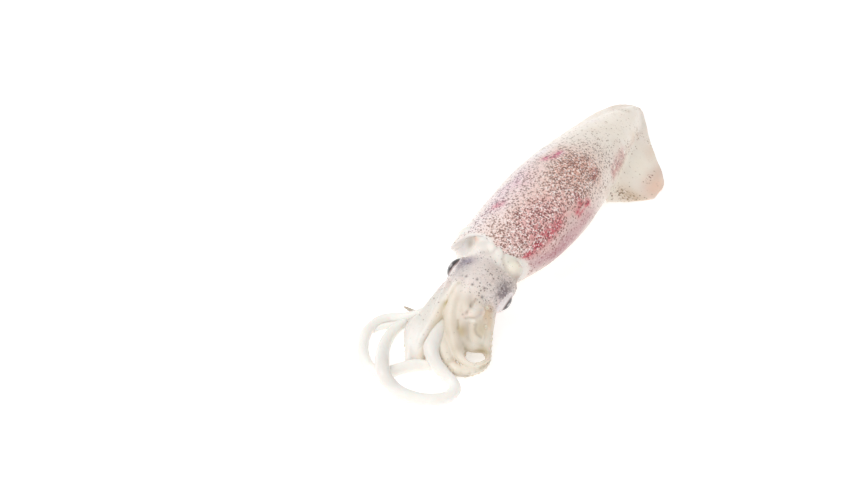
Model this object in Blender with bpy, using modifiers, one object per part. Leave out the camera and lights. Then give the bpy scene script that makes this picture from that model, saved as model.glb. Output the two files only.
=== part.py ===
"""Whole raw squid lying limp on a flat surface, rolled a little on to its right side.

The mantle runs along +Y with the tail at the far end, and the head, arms and
tentacles point along -Y. The origin is on the flat of the belly.
"""
import math

import bpy
import bmesh
from mathutils import Vector

MM = 0.001

# Mantle: the muscular tube. All sizes below are in millimetres.
RIM_Y = -66.0
TAIL_Y = 92.0
MANTLE_SIDES = 20
WALL = 2.6
MOUTH_DEPTH = 15.0
MOUTH_FLOOR = 2.0
BELLY_SAG = 1.3
# fraction of the length, centre x, half width, height
MANTLE_STATIONS = (
    (0.00, -7.4, 17.6, 29.0),
    (0.07, -5.2, 19.0, 31.5),
    (0.165, -2.2, 21.6, 34.0),
    (0.29, -0.2, 22.8, 36.0),
    (0.42, 0.2, 22.0, 34.8),
    (0.51, 0.4, 20.4, 31.6),
    (0.60, 0.0, 18.4, 27.2),
    (0.70, -0.4, 15.8, 22.4),
    (0.80, -0.4, 12.4, 17.0),
    (0.89, -0.2, 8.8, 12.0),
    (0.95, 0.0, 5.8, 8.4),
    (0.985, 0.0, 3.2, 5.6),
)
# How far the front edge stands ahead (-) or behind (+) of RIM_Y, by angle from the top
RIM_LOBES = (
    (-180, 4.0), (-150, 6.0), (-125, 9.5), (-105, 9.0), (-85, 4.0), (-63, -0.5), (-48, 0.5), (-33, 4.0),
    (-12, 5.0), (8, 4.2), (20, 1.0), (31, -1.2), (41, 0.0), (53, 2.8), (75, 8.0), (95, 8.8), (115, 8.8), (150, 6.5),
)

# Fins: one thin blade each side, together a blunt arrowhead
FIN_FRONT_Y = 18.0
FIN_BACK_Y = 86.5
FIN_STEPS = 14
FIN_RIBS = 6
FIN_ROOT_THICK = 3.4
FIN_EDGE_THICK = 1.3
# reach and position of the outer edge, from the front corner round to the tail
FIN_EDGE = (
    (17.0, 17.0), (27.0, 24.5), (35.0, 31.5), (36.3, 36.5), (36.0, 43.0),
    (31.6, 50.5), (24.0, 61.5), (15.0, 74.0), (8.4, 84.4), (3.6, 90.6),
)
LEFT_FIN_REACH = 0.75

# Head and neck
HEAD_SIDES = 16
# y, centre x, half width, top, bottom
HEAD_STATIONS = (
    (-53.0, -4.0, 10.0, 23.0, 5.0),
    (-58.0, -4.4, 11.2, 25.2, 3.6),
    (-65.0, -4.2, 11.8, 25.0, 2.0),
    (-71.0, -3.6, 12.6, 25.0, 0.6),
    (-77.0, -3.0, 14.0, 25.6, 0.0),
    (-83.0, -3.2, 13.2, 24.4, 0.0),
    (-88.0, -3.8, 11.4, 22.0, 0.0),
    (-93.0, -4.4, 8.6, 18.5, 0.6),
)
# Soft pads on the back of the neck: centre, half sizes
NECK_PADS = (
    ((-7.8, -66.5, 19.8), (7.4, 7.4, 7.2)),
    ((6.4, -68.6, 16.2), (6.0, 4.8, 6.4)),
)
EYE_LEFT = (-12.4, -77.2, 17.8)
EYE_RIGHT = (8.6, -78.6, 10.6)
EYE_HALF = (5.0, 5.6, 5.0)
EYE_GAP = 0.35
LID_GROW = 1.1

# Limbs: x, y, z and radius along each one, root first
TUBE_STEP = 4.2
ARM_STEP = 3.8
BEND = math.radians(26)
LIMBS = {
    "funnel": ((-7.0, -57.0, 8.0, 4.6), (-8.5, -64.0, 6.0, 4.8), (-9.5, -71.0, 4.4, 3.8), (-10.0, -75.5, 3.4, 3.0)),
    "arm_left_1": (
        (-8.0, -79.0, 16.0, 4.4), (-11.6, -84.5, 16.0, 3.5), (-11.4, -90.0, 15.4, 2.9), (-11.6, -95.5, 13.2, 2.6),
        (-12.0, -101.0, 10.6, 2.6), (-12.2, -106.0, 8.0, 2.6), (-12.4, -111.4, 5.6, 2.7),
        (-12.0, -114.6, 3.8, 2.6), (-11.2, -117.6, 2.4, 2.2), (-10.4, -120.2, 1.8, 1.5),
    ),
    "arm_left_2": (
        (-10.0, -77.0, 12.0, 4.6), (-14.0, -82.4, 12.6, 3.9), (-16.4, -87.4, 11.8, 3.5), (-18.0, -92.0, 10.8, 3.5),
        (-19.8, -97.0, 9.0, 3.7), (-20.2, -102.0, 7.0, 3.8), (-19.6, -107.0, 5.2, 3.6), (-17.8, -111.4, 3.8, 3.2),
        (-15.8, -115.2, 2.8, 2.7), (-14.2, -118.8, 2.2, 2.3), (-13.2, -121.6, 1.8, 1.5),
    ),
    "arm_left_3": (
        (-11.0, -82.0, 5.0, 3.4), (-16.0, -87.0, 3.6, 2.6), (-21.6, -91.4, 2.2, 1.9),
        (-25.6, -93.9, 1.4, 1.4), (-28.4, -93.5, 1.2, 1.0), (-31.2, -93.0, 1.0, 0.5),
    ),
    "arm_right_1": (
        (-7.0, -78.0, 19.0, 4.8), (-6.4, -86.4, 18.8, 4.3), (-5.4, -91.4, 17.6, 4.1), (-4.8, -95.6, 15.6, 3.9),
        (-3.4, -100.4, 13.0, 3.6), (-1.0, -104.6, 10.4, 3.5), (2.0, -108.2, 8.2, 3.3), (4.6, -110.9, 6.9, 2.9),
        (7.4, -113.9, 6.0, 2.1), (10.9, -115.4, 5.5, 1.4), (14.2, -115.1, 5.2, 1.1), (16.6, -112.4, 4.9, 1.0),
        (17.2, -108.6, 4.6, 1.0), (15.9, -105.2, 4.2, 1.0), (13.4, -103.9, 3.8, 0.9),
    ),
    "arm_right_2": (
        (-1.0, -78.0, 17.0, 4.6), (0.6, -84.8, 17.0, 4.1), (2.6, -90.0, 15.0, 4.0), (4.6, -94.8, 12.0, 3.9),
        (6.6, -98.6, 9.0, 3.9), (8.6, -101.4, 6.0, 3.8), (10.0, -103.0, 3.2, 3.0),
    ),
    "arm_right_3": (
        (3.0, -77.0, 11.5, 4.6), (5.6, -82.6, 11.0, 3.7), (7.9, -88.2, 9.4, 3.3), (9.9, -93.2, 7.4, 3.0),
        (11.6, -97.6, 5.2, 2.8), (13.8, -101.4, 3.4, 2.3), (16.0, -105.6, 2.2, 1.8), (16.4, -110.8, 1.8, 1.8),
        (13.9, -115.6, 1.8, 2.1), (9.3, -117.5, 1.8, 2.4), (4.5, -115.5, 1.7, 2.7), (0.5, -111.8, 1.7, 2.7),
        (-2.0, -107.4, 1.7, 2.3), (-3.0, -103.4, 1.5, 1.4),
    ),
    "arm_right_4": (
        (-3.0, -82.0, 5.0, 4.2), (-1.2, -89.4, 5.0, 4.0), (0.6, -96.4, 4.6, 3.6), (2.2, -101.6, 3.4, 2.8), (3.8, -104.6, 2.0, 1.6),
    ),
    "arm_curl": (
        (-2.6, -86.0, 19.4, 3.0), (-1.6, -91.4, 19.0, 2.4), (0.4, -95.4, 18.2, 2.1), (3.4, -97.2, 17.4, 1.9),
        (6.2, -96.0, 17.2, 1.6), (6.8, -93.4, 17.6, 1.3), (4.8, -92.0, 18.4, 1.0),
    ),
    "tentacle_left": (
        (-11.0, -85.0, 7.0, 3.0), (-19.0, -90.6, 5.4, 2.6), (-25.4, -97.0, 3.2, 2.2), (-29.5, -100.1, 2.3, 2.1),
        (-33.2, -102.6, 2.0, 2.0), (-36.2, -106.1, 1.9, 2.1), (-37.6, -110.6, 1.9, 2.1), (-37.6, -115.8, 2.0, 2.2),
        (-35.8, -121.7, 2.0, 2.2), (-32.5, -127.9, 2.0, 2.3), (-27.8, -133.1, 2.1, 2.4), (-22.2, -135.6, 2.2, 2.4),
        (-17.2, -134.0, 2.3, 2.4), (-13.4, -129.2, 2.4, 2.5), (-9.2, -125.0, 2.4, 2.6), (-5.0, -122.2, 2.2, 2.3),
        (-1.4, -120.0, 1.9, 1.8), (0.6, -116.8, 1.4, 1.0),
    ),
    "tentacle_right": (
        (-9.0, -86.0, 9.6, 3.7), (-9.2, -93.6, 8.6, 3.5), (-8.8, -100.0, 8.0, 3.4), (-7.6, -106.6, 8.0, 3.4),
        (-5.9, -113.6, 8.4, 3.3), (-2.6, -119.4, 8.2, 3.0), (1.5, -122.7, 6.4, 2.8), (6.2, -124.3, 4.0, 2.6),
        (10.3, -125.8, 2.4, 2.5), (13.0, -129.6, 2.2, 2.5), (12.4, -134.8, 2.2, 2.5), (7.8, -139.2, 2.2, 2.5),
        (1.2, -141.8, 2.3, 2.6), (-5.8, -143.0, 3.4, 2.7), (-11.4, -142.6, 6.0, 2.8), (-15.8, -139.6, 7.7, 2.8),
        (-21.2, -131.1, 5.6, 2.8), (-25.6, -121.6, 3.4, 2.5), (-27.6, -113.4, 2.2, 2.3), (-27.6, -107.4, 1.9, 2.0),
        (-26.4, -102.4, 1.8, 1.7),
    ),
    "tentacle_right_tip": (
        (-26.8, -103.2, 1.9, 1.7), (-29.5, -105.6, 1.6, 1.5), (-32.4, -107.6, 1.5, 1.4), (-34.4, -110.0, 1.3, 1.2),
        (-35.4, -112.6, 1.1, 0.8),
    ),
}


def smooth_at(knots, s):
    """Catmull-Rom value of a list of equal-length tuples at knot position s."""
    last = len(knots) - 1
    s = min(max(s, 0.0), float(last))
    i = min(int(s), last - 1)
    f = s - i
    a, b, c, d = (knots[min(max(i + k, 0), last)] for k in (-1, 0, 1, 2))
    return tuple(
        0.5 * (2 * q + (r - p) * f + (2 * p - 5 * q + 4 * r - t) * f * f + (3 * q - p - 3 * r + t) * f ** 3)
        for p, q, r, t in zip(a, b, c, d)
    )


def by_first(knots, value):
    """The tuple at a given value of the first column, which must rise along the list."""
    for i in range(len(knots) - 1):
        low, high = knots[i][0], knots[i + 1][0]
        if value <= high:
            return smooth_at(knots, i + max(0.0, (value - low) / (high - low)))
    return knots[-1]


def rim_shift(angle):
    """Offset of the mantle's front edge at an angle in degrees from the top."""
    first, last = RIM_LOBES[0], RIM_LOBES[-1]
    around = (
        (last[0] - 360, last[1]),
    ) + RIM_LOBES + (
        (first[0] + 360, first[1]), (RIM_LOBES[1][0] + 360, RIM_LOBES[1][1]),
    )
    return by_first(around, angle)[1]


def material(name, rgb, rough):
    """A Principled material of one colour."""
    mat = bpy.data.materials.new(name)
    mat.use_nodes = True
    shader = mat.node_tree.nodes["Principled BSDF"]
    shader.inputs["Base Color"].default_value = (*rgb, 1.0)
    shader.inputs["Roughness"].default_value = rough
    shader.inputs["Metallic"].default_value = 0.0
    return mat


def new_object(name, mesh, where):
    """Link a mesh as a named object into a collection."""
    obj = bpy.data.objects.new(name, mesh)
    where.objects.link(obj)
    return obj


def mesh_from(name, verts, faces):
    """A mesh from millimetre points, with its faces turned outward."""
    mesh = bpy.data.meshes.new(name)
    mesh.from_pydata([(x * MM, y * MM, z * MM) for x, y, z in verts], [], faces)
    shape = bmesh.new()
    shape.from_mesh(mesh)
    bmesh.ops.recalc_face_normals(shape, faces=shape.faces)
    shape.to_mesh(mesh)
    shape.free()
    return mesh


def loft(name, rings):
    """A closed skin over rings of equal length, with a face across each end."""
    count = len(rings[0])
    verts = [point for ring in rings for point in ring]
    faces = []
    for r in range(len(rings) - 1):
        for k in range(count):
            n = (k + 1) % count
            faces.append((r * count + k, r * count + n, (r + 1) * count + n, (r + 1) * count + k))
    faces.append(tuple(range(count)))
    faces.append(tuple(range((len(rings) - 1) * count, len(rings) * count)))
    return mesh_from(name, verts, faces)


def baked(obj):
    """The object's finished mesh, with its modifiers worked in."""
    bpy.context.view_layer.update()
    graph = bpy.context.evaluated_depsgraph_get()
    return bpy.data.meshes.new_from_object(obj.evaluated_get(graph))


def rounded(name, mesh, where):
    """A cage turned into the smooth form it stands for."""
    obj = new_object(name, mesh, where)
    soft = obj.modifiers.new("soft", "SUBSURF")
    soft.levels = 1
    soft.render_levels = 1
    smooth = baked(obj)
    bpy.data.objects.remove(obj)
    return new_object(name, smooth, where)


def mantle_ring(fraction, inset, floor, shift):
    """One section of the mantle: half width, height and sag follow the stations."""
    _, centre, half, height = by_first(MANTLE_STATIONS, fraction)
    middle = height / 2 - BELLY_SAG
    tall = height / 2 + BELLY_SAG
    y = RIM_Y + (TAIL_Y - RIM_Y) * fraction + shift
    fade = max(0.0, 1.0 - fraction / 0.17) ** 1.5
    ring = []
    for k in range(MANTLE_SIDES):
        degrees = 360.0 * k / MANTLE_SIDES - 180.0
        angle = math.radians(degrees)
        x = centre + (half - inset) * math.sin(angle)
        z = middle + (tall - inset) * math.cos(angle)
        ring.append((x, y + rim_shift(degrees) * fade, max(z, floor)))
    return ring


def mantle_cage():
    """Outer skin from rim to tail tip, turned in at the rim to line the mouth."""
    depth = MOUTH_DEPTH / (TAIL_Y - RIM_Y)
    rings = [
        mantle_ring(depth, WALL * 2.6, MOUTH_FLOOR + 2.5, 0.0),
        mantle_ring(depth, WALL * 1.3, MOUTH_FLOOR, -0.6),
        mantle_ring(depth * 0.6, WALL, MOUTH_FLOOR, 0.0),
        mantle_ring(depth * 0.22, WALL * 0.9, MOUTH_FLOOR * 0.9, 0.0),
        mantle_ring(0.0, WALL * 0.7, 1.3, 0.0),
        mantle_ring(0.0, WALL * 0.15, 0.5, -0.5),
    ]
    for fraction in (0.012, 0.05, 0.13, 0.24, 0.36, 0.48, 0.60, 0.71, 0.81, 0.89, 0.955, 0.988):
        rings.append(mantle_ring(fraction, 0.0, 0.0, 0.0))
    return loft("mantle", rings)


def fin_sheet(side):
    """Mid-surface of one fin: points from the root inside the mantle to the free edge."""
    points = []
    for i in range(FIN_STEPS + 1):
        u = i / FIN_STEPS
        reach, edge_y = smooth_at(FIN_EDGE, u * (len(FIN_EDGE) - 1))
        root_y = FIN_FRONT_Y + 4.0 + (FIN_BACK_Y - FIN_FRONT_Y - 4.0) * u
        fraction = (root_y - RIM_Y) / (TAIL_Y - RIM_Y)
        _, centre, half, height = by_first(MANTLE_STATIONS, fraction)
        low = side > 0
        root_x = centre + side * half * (0.56 if low else 0.50)
        root_z = height * (0.46 if low else 0.62)
        edge_x = side * (reach if low else reach * LEFT_FIN_REACH)
        edge_z = 0.75 if low else 0.8
        for j in range(FIN_RIBS + 1):
            v = j / FIN_RIBS
            drop = (1.0 - v) ** 1.7 if low else 1.0 - v ** 1.25
            ripple = 0.35 * math.sin(u * 17.0) * v * v * math.sin(math.pi * u)
            x = root_x + (edge_x - root_x) * v
            y = root_y + (edge_y - root_y) * v
            z = edge_z + (root_z - edge_z) * drop + ripple
            thick = FIN_ROOT_THICK + (FIN_EDGE_THICK - FIN_ROOT_THICK) * v
            thick = min(thick, 0.35 * height)
            points.append((Vector((x, y, z)), thick))
    return points


def fin_mesh(name, side):
    """The sheet given its thickness along its own normals, closed round the edge."""
    sheet = fin_sheet(side)
    wide = FIN_RIBS + 1
    top, under = [], []
    for n, (point, thick) in enumerate(sheet):
        i, j = divmod(n, wide)
        along = sheet[min(i + 1, FIN_STEPS) * wide + j][0] - sheet[max(i - 1, 0) * wide + j][0]
        across = sheet[i * wide + min(j + 1, FIN_RIBS)][0] - sheet[i * wide + max(j - 1, 0)][0]
        normal = across.cross(along) * side
        normal = normal.normalized()
        top.append(tuple(point + normal * thick / 2))
        under.append(tuple(point - normal * thick / 2))
    verts = top + under
    base = len(top)
    faces = []
    for i in range(FIN_STEPS):
        for j in range(FIN_RIBS):
            a = i * wide + j
            quad = (a, a + 1, a + 1 + wide, a + wide)
            faces.append(quad)
            faces.append(tuple(base + q for q in reversed(quad)))
    border = [j for j in range(wide)]
    border += [i * wide + FIN_RIBS for i in range(1, FIN_STEPS + 1)]
    border += [FIN_STEPS * wide + j for j in range(FIN_RIBS - 1, -1, -1)]
    border += [i * wide for i in range(FIN_STEPS - 1, 0, -1)]
    for n, a in enumerate(border):
        b = border[(n + 1) % len(border)]
        faces.append((a, b, base + b, base + a))
    return mesh_from(name, verts, faces)


def head_cage():
    """Neck, head and crown as one soft form, flat where it rests."""
    rings = []
    for y, centre, half, top, bottom in HEAD_STATIONS:
        middle = (top + bottom) / 2
        tall = (top - bottom) / 2 + (0.8 if bottom < 1.0 else 0.0)
        ring = []
        for k in range(HEAD_SIDES):
            angle = 2 * math.pi * k / HEAD_SIDES
            z = middle + tall * math.cos(angle)
            ring.append((centre + half * math.sin(angle), y, max(z, 0.0)))
        rings.append(ring)
    return loft("head", rings)


def ball(name, centre, half, where, parts=(16, 10)):
    """An ellipsoid from the sphere primitive."""
    mesh = bpy.data.meshes.new(name)
    shape = bmesh.new()
    bmesh.ops.create_uvsphere(shape, u_segments=parts[0], v_segments=parts[1], radius=1.0)
    bmesh.ops.scale(shape, vec=[h * MM for h in half], verts=shape.verts)
    bmesh.ops.translate(shape, vec=[c * MM for c in centre], verts=shape.verts)
    shape.to_mesh(mesh)
    shape.free()
    return new_object(name, mesh, where)


def limb(name, knots, step, where):
    """A round tapering limb along a smooth line through its knots."""
    samples = [knots[0]]
    for i in range(len(knots) - 1):
        here, there = Vector(knots[i][:3]), Vector(knots[i + 1][:3])
        before = here - Vector(knots[max(i - 1, 0)][:3])
        after = Vector(knots[min(i + 2, len(knots) - 1)][:3]) - there
        turn = before.angle(after, 0.0) / 2
        pieces = max(1, round((there - here).length / step), math.ceil(turn / BEND))
        samples += [smooth_at(knots, i + (k + 1) / pieces) for k in range(pieces)]
    end = Vector(samples[-1][:3])
    ahead = (end - Vector(samples[-2][:3])).normalized()
    radius = samples[-1][3]
    samples.append((*(end + ahead * radius * 0.65), radius * 0.6))
    curve = bpy.data.curves.new(name, "CURVE")
    curve.dimensions = "3D"
    curve.bevel_depth = MM
    curve.bevel_resolution = 2
    curve.use_fill_caps = True
    line = curve.splines.new("POLY")
    line.points.add(len(samples) - 1)
    for point, (x, y, z, radius) in zip(line.points, samples):
        point.co = (x * MM, y * MM, z * MM, 1.0)
        point.radius = radius
    route = bpy.data.objects.new(name + "_route", curve)
    where.objects.link(route)
    mesh = baked(route)
    shape = bmesh.new()
    shape.from_mesh(mesh)
    bmesh.ops.remove_doubles(shape, verts=shape.verts, dist=0.05 * MM)
    bmesh.ops.recalc_face_normals(shape, faces=shape.faces)
    shape.to_mesh(mesh)
    shape.free()
    bpy.data.objects.remove(route)
    return new_object(name, mesh, where)


def combine(obj, others, how, label):
    """Add a Boolean with a collection of helper solids."""
    cut = obj.modifiers.new(label, "BOOLEAN")
    cut.operation = how
    cut.solver = "EXACT"
    cut.operand_type = "COLLECTION"
    cut.collection = others


def finish(obj, name, mat, where):
    """Bake, rest on the surface and link the finished piece."""
    mesh = baked(obj)
    shape = bmesh.new()
    shape.from_mesh(mesh)
    for vert in shape.verts:
        vert.co.z = max(vert.co.z, 0.0)
    bmesh.ops.triangulate(shape, faces=[f for f in shape.faces if len(f.verts) > 4])
    shape.to_mesh(mesh)
    shape.free()
    bpy.data.objects.remove(obj)
    mesh.name = name
    mesh.materials.clear()
    mesh.materials.append(mat)
    mesh.polygons.foreach_set("use_smooth", [True] * len(mesh.polygons))
    return new_object(name, mesh, where)


def collection(name, helper=False):
    """A collection under the scene's root."""
    group = bpy.data.collections.new(name)
    bpy.context.scene.collection.children.link(group)
    group.hide_render = helper
    return group


def hide_helpers(groups):
    """Show helper solids as wires only."""
    for group in groups:
        for obj in group.objects:
            obj.hide_render = True
            obj.display_type = "WIRE"


def build():
    """Make the mantle with its fins, the head with its limbs, and the two eyes."""
    for obj in list(bpy.data.objects):
        bpy.data.objects.remove(obj)
    squid = collection("whole_raw_squid")
    fins = collection("fin_blades", helper=True)
    limbs = collection("limbs", helper=True)
    sockets = collection("sockets", helper=True)

    skin = material("mantle_skin", (0.66, 0.42, 0.38), 0.35)
    flesh = material("head_flesh", (0.78, 0.68, 0.62), 0.35)
    lens = material("eye_dark", (0.05, 0.04, 0.06), 0.15)

    body = rounded("mantle_body", mantle_cage(), squid)
    new_object("fin_right", fin_mesh("fin_right", 1), fins)
    new_object("fin_left", fin_mesh("fin_left", -1), fins)
    combine(body, fins, "UNION", "fins")
    finish(body, "mantle", skin, squid)

    head = rounded("head_body", head_cage(), squid)
    for n, (centre, half) in enumerate(NECK_PADS):
        ball("neck_pad_%d" % (n + 1), centre, half, limbs, (16, 10))
    lid = [h + LID_GROW for h in EYE_HALF]
    for name, centre in (("lid_left", EYE_LEFT), ("lid_right", EYE_RIGHT)):
        inward = (centre[0] + (1.6 if centre[0] < 0 else -1.6), centre[1], centre[2])
        ball(name, inward, lid, limbs, (18, 12))
    for name, knots in LIMBS.items():
        step = TUBE_STEP if name.startswith("tentacle") else ARM_STEP
        limb(name, knots, step, limbs)
    combine(head, limbs, "UNION", "limbs")
    socket = [h + EYE_GAP for h in EYE_HALF]
    ball("socket_left", EYE_LEFT, socket, sockets)
    ball("socket_right", EYE_RIGHT, socket, sockets)
    combine(head, sockets, "DIFFERENCE", "sockets")
    finish(head, "head", flesh, squid)

    for name, centre in (("eye_left", EYE_LEFT), ("eye_right", EYE_RIGHT)):
        finish(ball(name + "_ball", centre, EYE_HALF, squid), name, lens, squid)
    hide_helpers((fins, limbs, sockets))


build()
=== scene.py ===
"""Looks of the whole raw squid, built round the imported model.

The forms repeat the named sizes of the solid part, in millimetres, at a much
finer resolution; soft flesh is joined by a voxel skin and relaxed.
"""
import math

import bpy
import bmesh
import numpy as np
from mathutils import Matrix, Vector, noise
from mathutils.bvhtree import BVHTree


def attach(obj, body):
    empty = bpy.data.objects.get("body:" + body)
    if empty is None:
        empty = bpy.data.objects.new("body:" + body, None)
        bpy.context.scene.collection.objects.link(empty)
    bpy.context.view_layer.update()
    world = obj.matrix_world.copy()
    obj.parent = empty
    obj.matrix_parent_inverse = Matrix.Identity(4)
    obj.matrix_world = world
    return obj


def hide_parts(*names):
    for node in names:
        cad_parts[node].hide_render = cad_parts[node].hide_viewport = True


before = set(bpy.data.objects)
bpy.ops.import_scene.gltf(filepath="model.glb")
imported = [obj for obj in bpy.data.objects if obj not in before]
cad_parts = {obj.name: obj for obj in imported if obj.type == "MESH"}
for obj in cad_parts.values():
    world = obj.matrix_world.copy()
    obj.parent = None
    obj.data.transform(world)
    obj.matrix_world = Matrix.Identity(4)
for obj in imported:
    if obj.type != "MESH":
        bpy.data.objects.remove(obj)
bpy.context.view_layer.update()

MM = 0.001

# ---------------------------------------------------------------- sizes, mm
RIM_Y = -66.0
TAIL_Y = 92.0
MANTLE_SIDES = 20
RIM_FADE = 0.17  # share of the length over which the rim's lobes die out
LINING = 7.0  # how far the lining swells inward on the left of the mouth
LINING_TURN, LINING_SPREAD = -62.0, 28.0  # where it swells and how widely, in degrees from the top
MOUTH_DEPTH = 15.0
BELLY_SAG = 1.3
# The mouth's lining, from its floor out to the rim: share of its depth, inset, floor, step along y, swell
MOUTH_RINGS = (
    (1, 5.72, 4.5, 0, 0.9), (1, 3.38, 2, -0.6, 1), (0.6, 2.6, 2, 0, 0.95), (0.25, 2.34, 1.8, 0, 0.5),
    (0, 1.3, 1.3, 0, 0.06), (0, 0.39, 0.5, -0.5, 0),
)
# Where the outer skin's sections stand, as shares of the length
SKIN_RINGS = (0.012, 0.05, 0.13, 0.24, 0.36, 0.48, 0.6, 0.71, 0.81, 0.89, 0.955, 0.988)
# Share of the length, centre x, half width, height
MANTLE_STATIONS = (
    (0, -7.4, 17.6, 29), (0.07, -5.2, 19, 31.5), (0.165, -2.2, 21.6, 34), (0.29, -0.2, 22.8, 36),
    (0.42, 0.2, 22, 34.8), (0.51, 0.4, 20.4, 31.6), (0.6, 0, 18.4, 27.2), (0.7, -0.4, 15.8, 22.4),
    (0.8, -0.4, 12.4, 17), (0.89, -0.2, 8.8, 12), (0.95, 0, 5.8, 8.4), (0.985, 0, 3.2, 5.6),
)
# How far the front edge stands ahead (-) or behind (+) of RIM_Y, by angle from the top
RIM_LOBES = (
    (-180, 4), (-150, 6), (-125, 9.5), (-105, 9), (-85, 4), (-63, -0.5), (-48, 0.5), (-33, 4), (-12, 5),
    (8, 4.2), (20, 1), (31, -1.2), (41, 0), (53, 2.8), (75, 8), (95, 8.8), (115, 8.8), (150, 6.5),
)
FIN_FRONT_Y = 18.0
FIN_BACK_Y = 86.5
FIN_STEPS = 60
FIN_RIBS = 24
FIN_ROOT_BACK = 4.0  # how far behind the front edge's foot each root starts
FIN_ROOT = {1: (0.56, 0.46), -1: (0.50, 0.62)}  # each root's place: shares of half width and height
FIN_WAVE = 0.35
FIN_ROOT_THICK = 3.4
FIN_EDGE_THICK = 1.2
# Free edge of each fin, front to back: x, y, z
FIN_EDGES = {
    1: ((17, 17, 0.75), (27, 24.5, 0.75), (34.6, 31, 0.75), (35.6, 36.5, 0.75), (35.4, 43, 0.75),
        (31.6, 50.5, 0.75), (23.6, 61.4, 0.75), (14.6, 73.8, 0.75), (8.2, 84.4, 1), (3.4, 90.2, 3.2)),
    -1: ((-12.8, 17, 0.8), (-20.2, 24.5, 0.8), (-26.2, 31.5, 0.8), (-27.2, 36.5, 0.8), (-27, 43, 1),
         (-24.8, 50.5, 1.6), (-21, 61.5, 3), (-15.6, 73.8, 5), (-9, 83.4, 6), (-2.6, 89.2, 5),
         (2.8, 90.6, 3.6)),
}

HEAD_SIDES = 16
# y, centre x, half width, top, bottom
HEAD_STATIONS = (
    (-53, -4, 10, 23, 5), (-58, -4.4, 11.2, 25.2, 3.6), (-65, -4.2, 11.8, 25, 2),
    (-71, -3.6, 12.6, 25, 0.6), (-77, -3, 14, 25.6, 0), (-83, -3.2, 13.2, 24.4, 0),
    (-88, -3.8, 11.4, 22, 0), (-93, -4.4, 8.6, 18.5, 0.6),
)
# Soft pads of the neck: centre, half sizes
NECK_PADS = (
    ((-16.4, -57.4, 15.8), (8, 6.6, 11.4)), ((-6.6, -64.6, 19.6), (6, 7.4, 7.4)),
    ((0.4, -65.2, 18.2), (5.6, 6, 6.6)), ((6.4, -64.2, 15.2), (5, 5.2, 5.7)),
    ((8.4, -64.6, 18.4), (4.4, 3.6, 3.8)),
)
# Soft collar that fills the mantle's mouth from its top round the right side: angles from the top
COLLAR_TURN = (-24, -8, 8, 24, 42, 60, 78, 96, 112, 126, 140)
COLLAR_RADIUS = 4.0
COLLAR_BACK = 2.6  # how far its middle sits behind the rim
# The side of the head above the right eye: centre, half sizes
CHEEK = ((6.2, -70.6, 12.4), (6.2, 6.0, 7.4))
# Centre, half sizes, way the opening faces, its half angle, way the pupil faces, its two half angles
EYES = {
    "eye_left": ((-12.7, -76.6, 18.1), (5, 6, 5.2), (-0.88, -0.1, 0.47), 58, (-0.88, -0.02, 0.44), 60, 50),
    "eye_right": ((8.6, -77.9, 11.4), (5, 5.8, 5), (0.96, -0.19, -0.16), 53, (0.93, 0.02, -0.36), 40, 40),
}
PUPIL_UP = (0.0, 0.5, 0.86)  # the way a pupil's long axis leans
LID_GROW = 0.8
LID_EDGE = (-2.0, 7.0)  # degrees past the opening between which the lid rises from the ball
SOCKET = 0.82  # how deep the flesh sinks under the ball, as a share of its radius
# Flesh between the arms where they press together: x, y, z, radius
WEBS = (
    ((-12.6, -87, 13.6, 3), (-12.9, -93, 12.4, 3.2), (-13.3, -99, 10.3, 3.4), (-14.2, -105, 7.8, 3.4),
     (-14.4, -110.5, 5.6, 3.2), (-13.6, -115.4, 3.6, 2.6), (-12.6, -119, 2.4, 1.9)),
    ((-16, -93, 5, 3.4), (-19, -98, 4, 3.4), (-20.4, -103.5, 3.6, 3.3), (-19.4, -109, 3.2, 2.9),
     (-17.4, -113.5, 2.8, 2.5)),
    ((-9.2, -84, 17, 3.4), (-8.9, -89, 15.4, 3), (-8.9, -93, 13.2, 2.4)),
    ((-2.8, -88, 18.8, 3.6), (-2, -93.5, 16.8, 3.6), (-0.2, -98.6, 13.8, 3.5), (2.2, -102.9, 10.2, 3.3),
     (4.8, -105.9, 7.4, 2.7), (7.9, -105.8, 5.6, 2.3), (10.7, -104.5, 4.8, 2), (13.3, -103.8, 4.1, 1.5)),
    ((4.2, -84, 14.6, 3.4), (5.6, -89, 12.4, 3.2), (7.4, -94, 9.8, 3), (9.2, -98.4, 6.6, 2.8),
     (10.6, -101.6, 4.2, 2.2)),
    ((-10.6, -112, 5, 2.4), (-9.4, -116.6, 3.4, 2.4), (-8.6, -120.4, 2, 1.8)),
    ((-3.7, -101, 9.8, 2.8), (-3.3, -107, 7.8, 3.1), (-1.8, -112.2, 6.2, 3.3), (2.4, -116, 4.6, 2.6)),
)

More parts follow.
